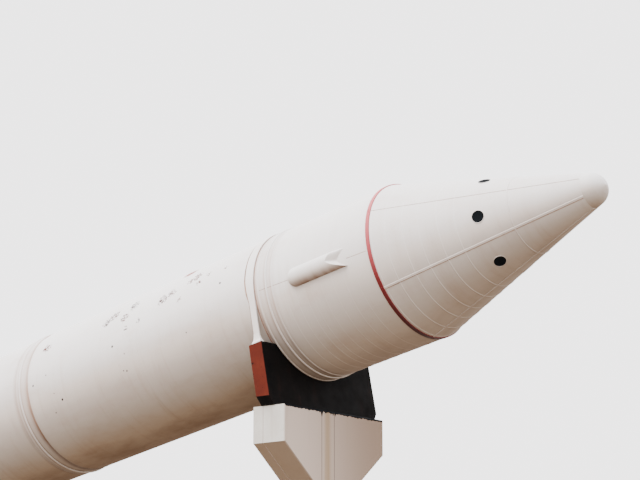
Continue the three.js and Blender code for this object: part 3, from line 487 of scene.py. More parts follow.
class Piece:
    """A piece under construction, in millimetres, with a value for stain and painted shade and an
    edge value at each point.
    """

    def __init__(self, place=BOOSTER):
        self.place = place
        self.mesh = bmesh.new()
        self.stain_and_shade = self.mesh.verts.layers.float.new("stain_and_shade")
        self.edge = self.mesh.verts.layers.float.new("edge")

    def vertex(self, point, stain_and_shade=0.0, edge=0.0):
        made = self.mesh.verts.new(point)
        made[self.stain_and_shade] = stain_and_shade
        made[self.edge] = edge
        return made

    def face(self, corners):
        distinct = list(dict.fromkeys(corners))
        if len(distinct) > 2:
            self.mesh.faces.new(distinct)

    def loft(self, rings, closed=False):
        """Joins rings of points in turn. Its ends are filled unless it closes on itself."""
        for here, there in zip(rings, rings[1:] + rings[:1] if closed else rings[1:]):
            for i, point in enumerate(here):
                j = (i + 1) % len(here)
                self.face([point, here[j], there[j], there[i]])
        if not closed:
            self.face(rings[0][::-1])
            self.face(rings[-1])
        return self

    def turned(self, outline, sides=ROUND, matrix=None):
        """Turns a closed outline of (forward, radius[, stain and painted shade]) round the axis."""
        matrix = matrix or Matrix()
        rings = []
        for forward, radius, *rest in outline:
            stain_and_shade = rest[0] if rest else 0.0
            if radius < 1e-6:
                ring = [self.vertex(matrix @ Vector((forward, 0, 0)), stain_and_shade)] * sides
            else:
                ring = []
                for i in range(sides):
                    point = radial(360 * i / sides) * radius
                    point.x = forward
                    ring.append(self.vertex(matrix @ point, stain_and_shade))
            rings.append(ring)
        for here, there in zip(rings, rings[1:] + rings[:1]):
            if here[0] is here[-1] and there[0] is there[-1]:
                continue
            for i in range(sides):
                j = (i + 1) % sides
                self.face([here[i], here[j], there[j], there[i]])
        return self

    def prism(self, outline, low, high, matrix=None, bevel=0.0):
        """Stands an outline of (x, y) up between two heights, its ends chamfered by a bevel."""
        matrix = matrix or Matrix()
        middle = [sum(p[k] for p in outline) / len(outline) for k in (0, 1)]
        levels = [(low, 1.0), (high, 1.0)]
        if bevel:
            reach = max(math.dist(p, middle) for p in outline)
            shrink = 1 - bevel / reach
            levels = [(low, shrink), (low + bevel, 1.0), (high - bevel, 1.0), (high, shrink)]
        rings = []
        for height, size in levels:
            spots = [[m + (v - m) * size for v, m in zip(point, middle)] for point in outline]
            rings.append([self.vertex(matrix @ Vector((*spot, height))) for spot in spots])
        return self.loft(rings)

    def box(self, long, wide, high, matrix=None, bevel=0.0):
        """A block with its corners cut, standing on the middle of its foot."""
        cut, x, y = bevel, long / 2, wide / 2
        outline = [(x, -y + cut), (x, y - cut), (x - cut, y), (-x + cut, y)]
        outline += [(-x, y - cut), (-x, -y + cut), (-x + cut, -y), (x - cut, -y)]
        return self.prism(outline if cut else outline[::2], 0, high, matrix, cut)

    def bar(self, start, end, radius, sides=32, bevel=0.0, end_radius=None):
        """A round bar between two points, its ends chamfered."""
        start, end = Vector(start), Vector(end)
        span = end - start
        turn = AHEAD.rotation_difference(span).to_matrix().to_4x4()
        matrix = Matrix.Translation(start) @ turn
        last = end_radius or radius
        outline = [
            (0, 0),
            (0, radius - bevel),
            (bevel, radius),
            (span.length - bevel, last),
            (span.length, last - bevel),
            (span.length, 0),
        ]
        return self.turned(outline, sides, matrix)

    def tube(self, points, radius, sides=12):
        """A round pipe through points, with closed ends."""
        points = [Vector(p) for p in points]
        rings = []
        side = None
        for i, point in enumerate(points):
            ahead = points[min(i + 1, len(points) - 1)] - points[max(i - 1, 0)]
            ahead.normalize()
            seed = side or (Vector((0, 0, 1)) if abs(ahead.z) < 0.9 else Vector((0, 1, 0)))
            side = (seed - ahead * seed.dot(ahead)).normalized()
            across = ahead.cross(side)
            turns = [2 * math.pi * k / sides for k in range(sides)]
            one, two = side * radius, across * radius
            spots = [point + one * math.cos(t) + two * math.sin(t) for t in turns]
            rings.append([self.vertex(spot) for spot in spots])
        return self.loft(rings)

    def done(self, name, finish, body="root", replaces=(), smooth=30.0):
        """Ends the piece: faces outwards, metres, its place in its mesh."""
        bmesh.ops.remove_doubles(self.mesh, verts=self.mesh.verts, dist=0.01)
        bmesh.ops.transform(self.mesh, matrix=self.place, verts=self.mesh.verts)
        bmesh.ops.recalc_face_normals(self.mesh, faces=self.mesh.faces)
        data = bpy.data.meshes.new(name)
        self.mesh.to_mesh(data)
        self.mesh.free()
        data.materials.append(finish)
        return keep(data, name, body, replaces, smooth)


def keep(data, name, body="root", replaces=(), smooth=30.0):
    """Shows a finished mesh as a piece of the object."""
    data.shade_smooth()
    data.set_sharp_from_angle(angle=math.radians(smooth))
    made = bpy.data.objects.new(name, data)
    bpy.context.scene.collection.objects.link(made)
    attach(made, body)
    if replaces:
        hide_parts(*replaces)
    return made


def bead(middle, rise, half, base, steps=4, stain_and_shade=0.0, sloped=0.0):
    """Outline of one rounded ridge, from ahead of it to behind it, on a wall of a given slope."""
    points = []
    for i in range(steps + 1):
        turn = math.pi * i / steps
        forward = middle + half * math.cos(turn)
        points.append((forward, base - sloped * (forward - middle) + rise * math.sin(turn), stain_and_shade))
    return points


# A ridge's section: shares of its half width, with shares of its rise
RIDGE = [(1.0, 0.0), (0.5, 0.5), (0.2, 0.93), (-0.2, 0.93), (-0.5, 0.5), (-1.0, 0.0)]
RIDGE_ROOT = -4.0


def ridge(into, forward, wall, rise, half, slope=0.0, top=0.3):
    """A rounded ridge all round a wall, at its full rise underneath and a share of it on top."""
    rings = []
    for i in range(ROUND):
        azimuth = 360 * i / ROUND
        low = 0.5 - 0.5 * math.sin(math.radians(azimuth))
        full = rise * (top + (1 - top) * low)
        section = [(share, full * lift) for share, lift in RIDGE]
        section = [(1.0, RIDGE_ROOT)] + section + [(-1.0, RIDGE_ROOT)]
        ring = []
        for share, lift in section:
            radius = wall - slope * half * share + lift
            ahead = Vector((forward + half * share, 0, 0))
            ring.append(into.vertex(radial(azimuth) * radius + ahead))
        rings.append(ring)
    into.loft(rings, closed=True)


def both_ways(ahead, middle=0.0):
    """A whole outline from the half of it that is ahead of a middle."""
    return [(middle + x, r) for x, r in ahead] + [(middle - x, r) for x, r in reversed(ahead)]


def numbered(stem, count):
    """Names of the solids that share a stem."""
    return [f"{stem}_{i}" for i in range(1, count + 1)]


def coat(solid, finish):
    """Gives its finish to a plain solid that still shows."""
    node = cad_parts[solid]
    node.data.materials.clear()
    node.data.materials.append(finish)


# Rows of fasteners, made by one tree: a head stands at each point of a mesh, along its direction

HEAD_SIDES, WASHER = 12, 1.35


def head_mesh(radius, height):
    """A bolt's head on its washer, its foot at the origin, towards +Z."""
    data = bpy.data.meshes.new("fastener_head")
    made = bmesh.new()
    steps = [
        (radius * WASHER, 0.0),
        (radius * WASHER, height * 0.22),
        (radius, height * 0.22),
        (radius, height * 0.85),
        (radius * 0.86, height),
    ]
    turns = [math.tau * i / HEAD_SIDES for i in range(HEAD_SIDES)]
    rings = []
    for size, level in steps:
        circle = [(size * math.cos(t), size * math.sin(t), level) for t in turns]
        rings.append([made.verts.new(spot) for spot in circle])
    for here, there in zip(rings, rings[1:]):
        for i in range(HEAD_SIDES):
            j = (i + 1) % HEAD_SIDES
            made.faces.new((here[i], here[j], there[j], there[i]))
    made.faces.new(rings[0][::-1])
    made.faces.new(rings[-1])
    made.to_mesh(data)
    made.free()
    return data


HEAD_SIZE, SIZE_VARIATION, SEED = 1.0, 0.04, 7


def fastener_tree():
    """Instances a head on every point, along the point's direction, at a size that varies."""
    tree = bpy.data.node_groups.new("fastener_rows", "GeometryNodeTree")
    sockets = [
        ("Geometry", "Geometry", None),
        ("Head", "Object", None),
        ("Head size", "Float", HEAD_SIZE),
        ("Size variation", "Float", SIZE_VARIATION),
        ("Seed", "Int", SEED),
        ("Finish", "Material", None),
    ]
    for title, kind, value in sockets:
        made = tree.interface.new_socket(title, in_out="INPUT", socket_type="NodeSocket" + kind)
        if value is not None:
            made.default_value = value
    tree.interface.new_socket("Geometry", in_out="OUTPUT", socket_type="NodeSocketGeometry")

    def add(kind, **settings):
        made = tree.nodes.new(kind)
        for name, value in settings.items():
            setattr(made, name, value)
        return made

    given = add("NodeGroupInput")
    result = add("NodeGroupOutput")
    points = add("GeometryNodeMeshToPoints", mode="VERTICES")
    direction = add("GeometryNodeInputNamedAttribute", data_type="FLOAT_VECTOR")
    direction.inputs["Name"].default_value = "direction"
    turn = add("FunctionNodeAlignRotationToVector", axis="Z")
    head = add("GeometryNodeObjectInfo", transform_space="ORIGINAL")
    stand = add("GeometryNodeInstanceOnPoints")
    chance = add("FunctionNodeRandomValue", data_type="FLOAT")
    low = add("ShaderNodeMath", operation="SUBTRACT")
    high = add("ShaderNodeMath", operation="ADD")
    real = add("GeometryNodeRealizeInstances")
    coated = add("GeometryNodeSetMaterial")
    links = [
        (given, "Geometry", points, "Mesh"),
        (points, "Points", stand, "Points"),
        (given, "Head", head, "Object"),
        (head, "Geometry", stand, "Instance"),
        (direction, "Attribute", turn, "Vector"),
        (turn, "Rotation", stand, "Rotation"),
        (given, "Head size", low, 0),
        (given, "Size variation", low, 1),
        (given, "Head size", high, 0),
        (given, "Size variation", high, 1),
        (low, 0, chance, 2),
        (high, 0, chance, 3),
        (given, "Seed", chance, "Seed"),
        (chance, 1, stand, "Scale"),
        (stand, "Instances", real, "Geometry"),
        (real, "Geometry", coated, "Geometry"),
        (given, "Finish", coated, "Material"),
        (coated, "Geometry", result, "Geometry"),
    ]
    for start, output, end, entry in links:
        tree.links.new(start.outputs[output], end.inputs[entry])
    return tree


FASTENER_ROWS = fastener_tree()


def fasteners(name, spots, radius, height, finish=ZINC, body="root", place=BOOSTER):
    """Bolt heads at (point, direction) spots given in millimetres."""
    turn = place.to_3x3().normalized()
    data = bpy.data.meshes.new(name + "_spots")
    data.from_pydata([place @ Vector(point) for point, _ in spots], [], [])
    stored = data.attributes.new("direction", "FLOAT_VECTOR", "POINT")
    for entry, (_, direction) in zip(stored.data, spots):
        entry.vector = (turn @ Vector(direction)).normalized()
    holder = bpy.data.objects.new(name + "_spots", data)
    head = bpy.data.objects.new("fastener_head", head_mesh(radius / 1000, height / 1000))
    for thing in (holder, head):
        bpy.context.scene.collection.objects.link(thing)
    rows = holder.modifiers.new("fastener_rows", "NODES")
    rows.node_group = FASTENER_ROWS
    values = {
        "Head": head,
        "Head size": HEAD_SIZE,
        "Size variation": SIZE_VARIATION,
        "Seed": SEED,
        "Finish": finish,
    }
    for item in FASTENER_ROWS.interface.items_tree:
        if item.in_out == "INPUT" and item.name in values:
            rows[item.identifier] = values[item.name]
    graph = bpy.context.evaluated_depsgraph_get()
    plain = bpy.data.meshes.new_from_object(holder.evaluated_get(graph), depsgraph=graph)
    plain.name = name
    for thing in (holder, head):
        bpy.data.objects.remove(thing)
    return keep(plain, name, body)


def ring_spots(forward, radius, count, along=None, first=0.0):
    """Spots round the axis. They face outwards, or along the given direction."""
    spots = []
    for i in range(count):
        out = radial(first + 360 * i / count)
        point = out * radius
        point.x = forward
        spots.append((point, along or out))
    return spots


# Nose

TIP_FRONT, TIP_JOINT, CAP_JOINT = at(200), at(216), at(278)
NOSE_AFT = at(399.5) + SEAM
TIP_GROOVE = [(3, 0.0), (0, 1.5), (-3, 0.0)]
TIP_RADIUS = cone_radius(TIP_FRONT) / (math.cos(CONE) + SLOPE * math.sin(CONE) - SLOPE)
NOSE_BEADS = [980, 785, 577.5, 398.5, 205, 42]
SEAM_AZIMUTHS = [-30.5 + 60 * i for i in range(6)]
BATTEN_WIDTH, BATTEN_RISE = 28.0, 6.0
FLUSH_WIDTH, FLUSH_RISE, INBOARD_FROM = 14.0, 1.0, 95.0

nose = arc((TIP_FRONT - TIP_RADIUS, 0), TIP_RADIUS, 0, 90 - math.degrees(CONE), 24)
nose += [(TIP_JOINT + x, cone_radius(TIP_JOINT + x) - deep) for x, deep in TIP_GROOVE]
nose += bead(CAP_JOINT + 4, 5, 8, cone_radius(CAP_JOINT + 4), 5, 0.1, SLOPE)
nose += [(NOSE_AFT, cone_radius(NOSE_AFT), 0.1), (NOSE_AFT, 0)]
Piece().turned(nose).done("nose_shell", WHITE, replaces=["nose_tip", "nose_cap", "nose_frustum"])

ring_beads = Piece()
for middle in NOSE_BEADS:
    ridge(ring_beads, middle, cone_radius(middle), 4.0, 9, SLOPE)
ring_beads.done("nose_ring_beads", WHITE)

BATTEN_FRONT, BATTEN_AFT, BATTEN_STEPS, BATTEN_ROOT = 2350.0, NOSE_AFT + 4, 12, -8.0
LINE_WIDTH, LINE_RISE = 7.0, 2.5


def along_cone(azimuth, offset, width, rise, front, into):
    """A strip laid on the cone beside a seam line, with chamfered edges."""
    chamfer = min(rise * 0.6, width * 0.3)
    section = [
        (-width / 2, BATTEN_ROOT),
        (-width / 2, rise - chamfer),
        (-width / 2 + chamfer, rise),
        (width / 2 - chamfer, rise),
        (width / 2, rise - chamfer),
        (width / 2, BATTEN_ROOT),
    ]
    rings = []
    for i in range(BATTEN_STEPS + 1):
        forward = BATTEN_AFT + (front - BATTEN_AFT) * i / BATTEN_STEPS
        place = frame_at(azimuth, forward, cone_radius(forward))
        points = [place @ Vector((0, offset + across, up)) for across, up in section]
        rings.append([into.vertex(point) for point in points])
    into.loft(rings)


# Seams stand proud underneath, with a brown line along their lower edge that is mastic and painted
# shadow in one, and are flush lines with mastic on top
battens, seam_mastic_and_shadow = Piece(), Piece()
for azimuth in SEAM_AZIMUTHS:
    if 0 < azimuth < 180:
        along_cone(azimuth, 0, FLUSH_WIDTH, FLUSH_RISE, BATTEN_FRONT, battens)
        offset, rise = 0, FLUSH_RISE + 0.8
    else:
        along_cone(azimuth, 0, BATTEN_WIDTH, BATTEN_RISE, BATTEN_FRONT, battens)
        below = -1 if abs(((azimuth + 180) % 360) - 180) < INBOARD_FROM else 1
        offset, rise = below * (BATTEN_WIDTH / 2 + 3), LINE_RISE
    along_cone(azimuth, offset, LINE_WIDTH, rise, BATTEN_FRONT - 6, seam_mastic_and_shadow)
battens.done("nose_seam_battens", WHITE)
seam_mastic_and_shadow.done("nose_seam_mastic", MASTIC)

PORT_FORWARD, PORT_RADIUS, PORT_OUTER, PORT_SIDES = at(303.8), 69.0, 74.0, 64
PORT_RIM = [
    (-9, PORT_RADIUS),
    (1.5, PORT_RADIUS),
    (2.5, PORT_RADIUS + 1),
    (2.5, PORT_OUTER - 1.5),
    (1, PORT_OUTER),
    (-9, PORT_OUTER),
]
PORT_COVER = [
    (-12, 0),
    (-12, PORT_RADIUS),
    (0.5, PORT_RADIUS),
    (1.5, PORT_RADIUS - 2),
    (0.5, PORT_RADIUS - 6),
    (0, 0),
]
rims, covers = Piece(), Piece()
for i in range(6):
    place = frame_at(-0.5 + 60 * i, PORT_FORWARD, cone_radius(PORT_FORWARD))
    place = place @ Matrix.Rotation(CONE, 4, "Y") @ Matrix.Rotation(-math.pi / 2, 4, "Y")
    rims.turned(PORT_RIM, PORT_SIDES, place)
    covers.turned(PORT_COVER, PORT_SIDES, place)
rims.done("separation_motor_port_rims", WHITE)
ports = numbered("separation_motor_port", 6)
covers.done("separation_motor_port_covers", BLACK, replaces=ports)

BAND_BASE, BAND_EDGE, BAND_TOP, BAND_LAP = 920.0, 929.5, 932.0, 5.0
front, aft = at(399.5) - SEAM, at(402.5) + SEAM
band = [
    (front, 0),
    (front, BAND_BASE),
    (front + BAND_LAP, BAND_BASE),
    (front + BAND_LAP, BAND_EDGE),
    (front + BAND_LAP - 2, BAND_TOP),
    (aft - BAND_LAP + 2, BAND_TOP),
    (aft - BAND_LAP, BAND_EDGE),
    (aft - BAND_LAP, BAND_BASE),
    (aft, BAND_BASE),
    (aft, 0),
]
Piece().turned(band).done("separation_ring_band", RED, replaces=["separation_ring"])
spots = []
for azimuth in SEAM_AZIMUTHS:
    for shift in (-0.9, 0.9):
        out = radial(azimuth + shift)
        spots.append((out * (BAND_TOP - 1) + Vector(((front + aft) / 2, 0, 0)), out))
fasteners("separation_ring_bolts", spots, 6, 6, RED)

# Forward skirt, its blister and the thrust post's plate

skirt = [(at(402.5) - SEAM, 0), (at(402.5) - SEAM, CASE, 0.15), (at(402.5) - 40, CASE, 0.02)]
skirt += [(at(512) + 40, CASE, 0.05), (at(512) + SEAM, CASE, 0.2), (at(512) + SEAM, 0)]
Piece().turned(skirt).done("forward_skirt_shell", WHITE, replaces=["forward_skirt"])

SKIRT_RINGS = (-260, -420, -585, -750, -895, -985, -1120, -1260)
skirt_lines = Piece()
for middle in SKIRT_RINGS:
    ridge(skirt_lines, middle, CASE, 2.4, 8, top=0.0)
skirt_lines.done("skirt_ring_lines", WHITE)

BLISTER_AFT, BLISTER_NOTCH, BLISTER_HALF, BLISTER_RISE = -1170.0, -560.0, 112.0, 92.0
BLISTER_TIPS = {"upper": -475.0, "lower": -330.0}
BLISTER_AZIMUTH, BLISTER_FOOT = 0.5, -5.0


def blister_mouth(share):
    """Where the scooped mouth starts and how long its slope is, from -1 (upper) to 1 (lower)."""
    side = abs(share)
    tip = BLISTER_TIPS["lower" if share > 0 else "upper"]
    start = BLISTER_NOTCH + (tip - BLISTER_NOTCH) * side**1.4
    return start, 95 * (1 - side) + 14 + 150 * max(0.0, -share)


def blister_height(forward, across, past):
    """Height over the skirt of a half capsule with a scooped, fish-mouthed front."""
    centre = BLISTER_AFT + BLISTER_HALF
    back = max(0.0, centre - forward) / BLISTER_HALF
    inside = 1 - back**2 - (across / BLISTER_HALF) ** 2
    if inside <= 0:
        return BLISTER_FOOT
    return BLISTER_RISE * math.sqrt(inside) * (1 - past) ** 1.4 + BLISTER_FOOT * past**3


# The rows of the mesh bend with the mouth, so its lip stays a clean edge
BLISTER_ROWS, MOUTH_ROWS, BLISTER_ACROSS = 60, 16, 44
BLISTER_END = max(BLISTER_TIPS.values()) + 20
blister = Piece()
over, under = [], []
for i in range(BLISTER_ROWS + MOUTH_ROWS + 2):
    top_line, foot_line = [], []
    for j in range(BLISTER_ACROSS + 1):
        share = -math.cos(math.pi * j / BLISTER_ACROSS)
        mouth, slope = blister_mouth(share)
        past = min(1.0, max(0.0, (i - BLISTER_ROWS) / MOUTH_ROWS))
        forward = BLISTER_AFT + (mouth - BLISTER_AFT) * min(1.0, i / BLISTER_ROWS) + slope * past
        if i > BLISTER_ROWS + MOUTH_ROWS:
            forward = max(forward, BLISTER_END) + 5
        back = max(0.0, BLISTER_AFT + BLISTER_HALF - forward) / BLISTER_HALF
        half = BLISTER_HALF * math.sqrt(max(0.0, 1 - back**2)) * 1.002 + 0.5
        lift = blister_height(forward, share * half, past)
        out = radial(BLISTER_AZIMUTH - math.degrees(share * half / CASE))
        ahead = Vector((forward, 0, 0))
        # Painted shade: the blister's lower side is browned, more towards its foot
        blister_shade = 0.85 * share**2 if share > 0 else 0.0
        top_line.append(blister.vertex(out * (CASE + lift) + ahead, blister_shade))
        foot_line.append(blister.vertex(out * (CASE + BLISTER_FOOT - 12) + ahead))
    over.append(top_line)
    under.append(foot_line[::-1])
blister.loft([top_line + foot_line for top_line, foot_line in zip(over, under)])
blister.done("skirt_blister_shell", WHITE, replaces=["skirt_blister"], smooth=40)

# Strips of mastic along the skirt: first and last azimuth, then where each starts and ends
SKIRT_SEAMS = [
    (-1.8, -1.2, -40, -330),
    (0.8, 2.0, BLISTER_AFT + 20, -1640),
    (178.5, 178.5, -40, -420),
    (178.5, 178.5, -760, -1400),
]
SEAM_SECTION = [(-2.5, -3), (-2.5, 0.6), (0, 1.2), (2.5, 0.6), (2.5, -3)]
SEAM_STEPS = 24
seam = Piece()
for first, last, start, end in SKIRT_SEAMS:
    rings = []
    for i in range(SEAM_STEPS + 1):
        share = i / SEAM_STEPS
        forward = start + (end - start) * share
        place = frame_at(first + (last - first) * share, forward, CASE)
        rings.append([seam.vertex(place @ Vector((0, across, up))) for across, up in SEAM_SECTION])
    seam.loft(rings)
seam.done("skirt_seam_mastic", MASTIC)

THRUST, DOUBLER, DOUBLER_THICK, DOUBLER_CUT = at(445), 470, 14, 6
plate = Piece()
foot = frame_at(180, THRUST, CASE - 30) @ Matrix.Translation((0, 0, 8))
plate.box(DOUBLER, DOUBLER, DOUBLER_THICK, foot, DOUBLER_CUT)
plate.done("thrust_post_doubler", WHITE)
coat("thrust_post", WHITE)

# Ring where the skirt meets the case, then the case and its field joints

joint_front, joint_aft = at(512) - SEAM, at(533.5) + SEAM
middle = at(520.7)
joint = [(joint_front, 0), (joint_front, CASE, 0.2)]
joint += bead(middle + 92, 6, 8, CASE, 4, 0.1)
joint += [(middle + 72, CASE, 0.6), (middle + 40, CASE, 0.35), (middle + 20, CASE, 0.5)]
joint += bead(middle + 4, 14, 12, CASE, 6, 0.05)
joint += [(middle - 14, CASE, 0.7), (middle - 50, CASE, 0.3), (middle - 100, CASE, 0.45)]
joint += bead(middle - 122, 8, 9, CASE, 5, 0.15)
joint += [(middle - 140, CASE, 0.6), (joint_aft, CASE, 0.8), (joint_aft, 0)]
Piece().turned(joint).done("skirt_joint_band", WHITE, replaces=["skirt_joint_ring"])

JOINT_AHEAD, JOINT_BEHIND = 12.5 * STATION_PITCH, 7.5 * STATION_PITCH
for number, middle in enumerate(FIELD_JOINTS, 1):
    front, aft = middle + JOINT_AHEAD - SEAM, middle - JOINT_BEHIND + SEAM
    outline = [(front, 0), (front, CASE, 0.3), (middle + 154, CASE, 1.0)]
    outline += bead(middle + 145, 3, 6, CASE, 4, 1.0)
    outline += [(middle + 128, CASE, 0.95), (middle + 80, CASE, 0.4), (middle + 40, CASE, 0.35)]
    outline += [(middle + 16, CASE, 0.75)] + bead(middle, 14, 13, CASE, 6, 0.05)
    outline += [(middle - 18, CASE, 0.7), (middle - 50, CASE, 0.25)]
    outline += bead(middle - 85, 2.5, 5, CASE, 3, 0.6)
    outline += [(aft, CASE, 0.25), (aft, 0)]
    band = Piece().turned(outline)
    band.done(f"field_joint_band_{number}", WHITE, replaces=[f"field_joint_{number}"])

segment_fronts = [at(533.5)] + [j - JOINT_BEHIND for j in FIELD_JOINTS]
segment_afts = [j + JOINT_AHEAD for j in FIELD_JOINTS] + [SKIRT_FRONT]
for number, (front, aft) in enumerate(zip(segment_fronts, segment_afts), 1):
    front, aft = front - SEAM, aft + SEAM
    outline = [(front, 0), (front, CASE, 0.45), (front - 40, CASE, 0.08)]
    half = (front + aft) / 2
    outline += [(half + 9, CASE, 0.02)] + bead(half, 1.5, 6, CASE, 3, 0.08)
    outline += [(half - 9, CASE, 0.02)]
    outline += [(aft + 60, CASE, 0.04), (aft, CASE, 0.15), (aft, 0)]
    case = Piece().turned(outline)
    case.done(f"motor_case_{number}", CASE_WHITE, replaces=[f"case_segment_{number}"])

# Straps: bands over the case that narrow towards its sides and hang plumb to flared feet

SUPPORTS = [("front", FRONT_SADDLE), ("rear", REAR_SADDLE)]
HORN_LEVEL = -580.0
STRAP_RISE, LEG_STEPS, CASE_STEPS, STRAP_STAIN = 14.0, 24, 120, 0.1
STRAP_AFT_EDGE = [(-74.0, -40.0), (43.0, -54.0), (200.0, -70.0)]
STRAP_FRONT_EDGE = [(-280.0, 41.0), (0.0, 50.0)]
MASTIC_RISE, MASTIC_WIDTH, MASTIC_AHEAD = 5.0, 12.0, 57.0
AFT_LINE_WIDTH = [(-74.0, 12.0), (43.0, 26.0)]
FOOT_LEVELS = [
    (0, (-66, 66), (903, 968)),
    (20, (-65, 65), (903, 968)),
    (34, (-60, 60), (912, 955)),
    (60, (-50, 50), (921, 946)),
    (95, (-43, 43), (924, 943)),
    (125, (-41, 42), (923, 942)),
]


def read_off(table, level):
    """Value at a level from rows of level and value: straight between rows and flat beyond them."""
    for (low, here), (high, there) in zip(table, table[1:]):
        if level < high:
            return here + (there - here) * max(0.0, (level - low) / (high - low))
    return table[-1][1]


def round_case(start, end):
    """Outward directions and points round the case, from one azimuth to another."""
    outs = [radial(start + (end - start) * i / CASE_STEPS) for i in range(CASE_STEPS + 1)]
    return [(out, out * CASE) for out in outs]


def over_case(lowest):
    """Outward directions and points of a strap that hangs plumb on both sides of the case."""
    left, right = radial(0), radial(180)
    levels = [lowest * (1 - i / LEG_STEPS) for i in range(LEG_STEPS)]
    outboard = [(left, left * CASE + Vector((0, 0, level))) for level in levels]
    inboard = [(right, right * CASE + Vector((0, 0, level))) for level in reversed(levels)]
    return outboard + round_case(0, 180) + inboard


def strip_along(into, path, station, edges, rise):
    """A flat strip along a path, between two edges that may vary with the level."""
    rings = []
    for out, point in path:
        aft, front = (station + edge for edge in edges(point.z))
        chamfer = min(3.0, (front - aft) / 3)
        section = [
            (aft, -3),
            (aft, rise * 0.8),
            (aft + chamfer, rise),
            (front - chamfer, rise),
            (front, rise * 0.8),
            (front, -3),
        ]
        points = [point + out * off + Vector((x, 0, 0)) for x, off in section]
        rings.append([into.vertex(point, STRAP_STAIN) for point in points])
    into.loft(rings)


def strap_edges(level):
    """Aft and front edges of a strap, from its saddle's middle."""
    return read_off(STRAP_AFT_EDGE, level), read_off(STRAP_FRONT_EDGE, level)


def aft_line_edges(level):
    """Edges of the brown line along a strap's aft edge."""
    aft = strap_edges(level)[0]
    return aft - read_off(AFT_LINE_WIDTH, level), aft + 1


def front_line_edges(_level):
    """Edges of the line of mastic ahead of a strap."""
    return MASTIC_AHEAD - MASTIC_WIDTH / 2, MASTIC_AHEAD + MASTIC_WIDTH / 2


for label, station in SUPPORTS:
    band, lines = Piece(), Piece()
    hanging = over_case(HORN_LEVEL + 122)
    strip_along(band, hanging, station, strap_edges, STRAP_RISE)
    strip_along(lines, hanging, station, aft_line_edges, MASTIC_RISE)
    strip_along(lines, round_case(-37, 217), station, front_line_edges, MASTIC_RISE)
    for hand in (-1, 1):
        rings = []
        for height, (aft, front), (near, far) in FOOT_LEVELS:
            corners = [(aft, near), (front, near), (front, far), (aft, far)]
            level = HORN_LEVEL + 0.5 + height
            rings.append([band.vertex((station + x, hand * y, level)) for x, y in corners])
        band.loft(rings)
    band.done(f"{label}_strap_band", STRAP_WHITE, replaces=[f"{label}_strap"])
    lines.done(f"{label}_strap_mastic", MASTIC)

# Saddles and piers, upright in the world

SADDLE_HALF, SADDLE_SIDE, SADDLE_BEVEL = 95.0, 990.0, 6.0
SIDE_CUT, FOOT_CUT = 104.0, 70.0
SADDLE_LEVELS = [-700 - 60 * k for k in range(7)]
PIER_HALF, PIER_WIDE, CAP_DEPTH, HAUNCH, STEM = 237.0, 910.0, 420.0, 0.81, 380.0
PIER_CUT, PIER_GROOVE, GROOVE_HALF, GROOVE_DEPTH = 10.0, -82.0, 3.0, 4.0
FOOTING = (420.0, 760.0, 120.0)
# How far in the pier's outline lies at each place along it: cut ends and a shallow groove
PIER_LEVELS = [
    (-PIER_HALF, PIER_CUT),
    (-PIER_HALF + PIER_CUT, 0),
    (PIER_GROOVE - GROOVE_HALF, 0),
    (PIER_GROOVE - GROOVE_HALF / 2, GROOVE_DEPTH),
    (PIER_GROOVE + GROOVE_HALF / 2, GROOVE_DEPTH),
    (PIER_GROOVE + GROOVE_HALF, 0),
    (PIER_HALF - PIER_CUT, 0),
    (PIER_HALF, PIER_CUT),
]
SEALANT_STEPS = 300
DRIPS = [(-246.0, 72.0, 24.0), (-40.0, 44.0, 14.0), (-2.0, 48.0, 14.0), (420.0, 24.0, 30.0)]


def moved_in(outline, cut):
    """Points of an anticlockwise outline, each edge moved inwards."""
    count = len(outline)
    moved = []
    for i in range(count):
        before, here, after = (Vector(outline[(i + k - 1) % count]) for k in range(3))
        one = (here - before).normalized()
        two = (after - here).normalized()
        inward = (Vector((-one.y, one.x)) + Vector((-two.y, two.x))).normalized()
        moved.append(here + inward * cut / max(0.3, inward.dot(Vector((-one.y, one.x)))))
    return moved


def sealant_depth(across):
    """How far the ragged sealant hangs over the pier's front edge, with its drips."""
    slow = noise.noise(Vector((across * 0.02, 3.1, 0)))
    quick = noise.noise(Vector((across * 0.09, 0, 5)))
    depth = 12 + 14 * slow + 12 * quick
    for middle, length, half in DRIPS:
        depth = max(depth, length * (1 - abs(across - middle) / half))
    return max(2.0, depth)


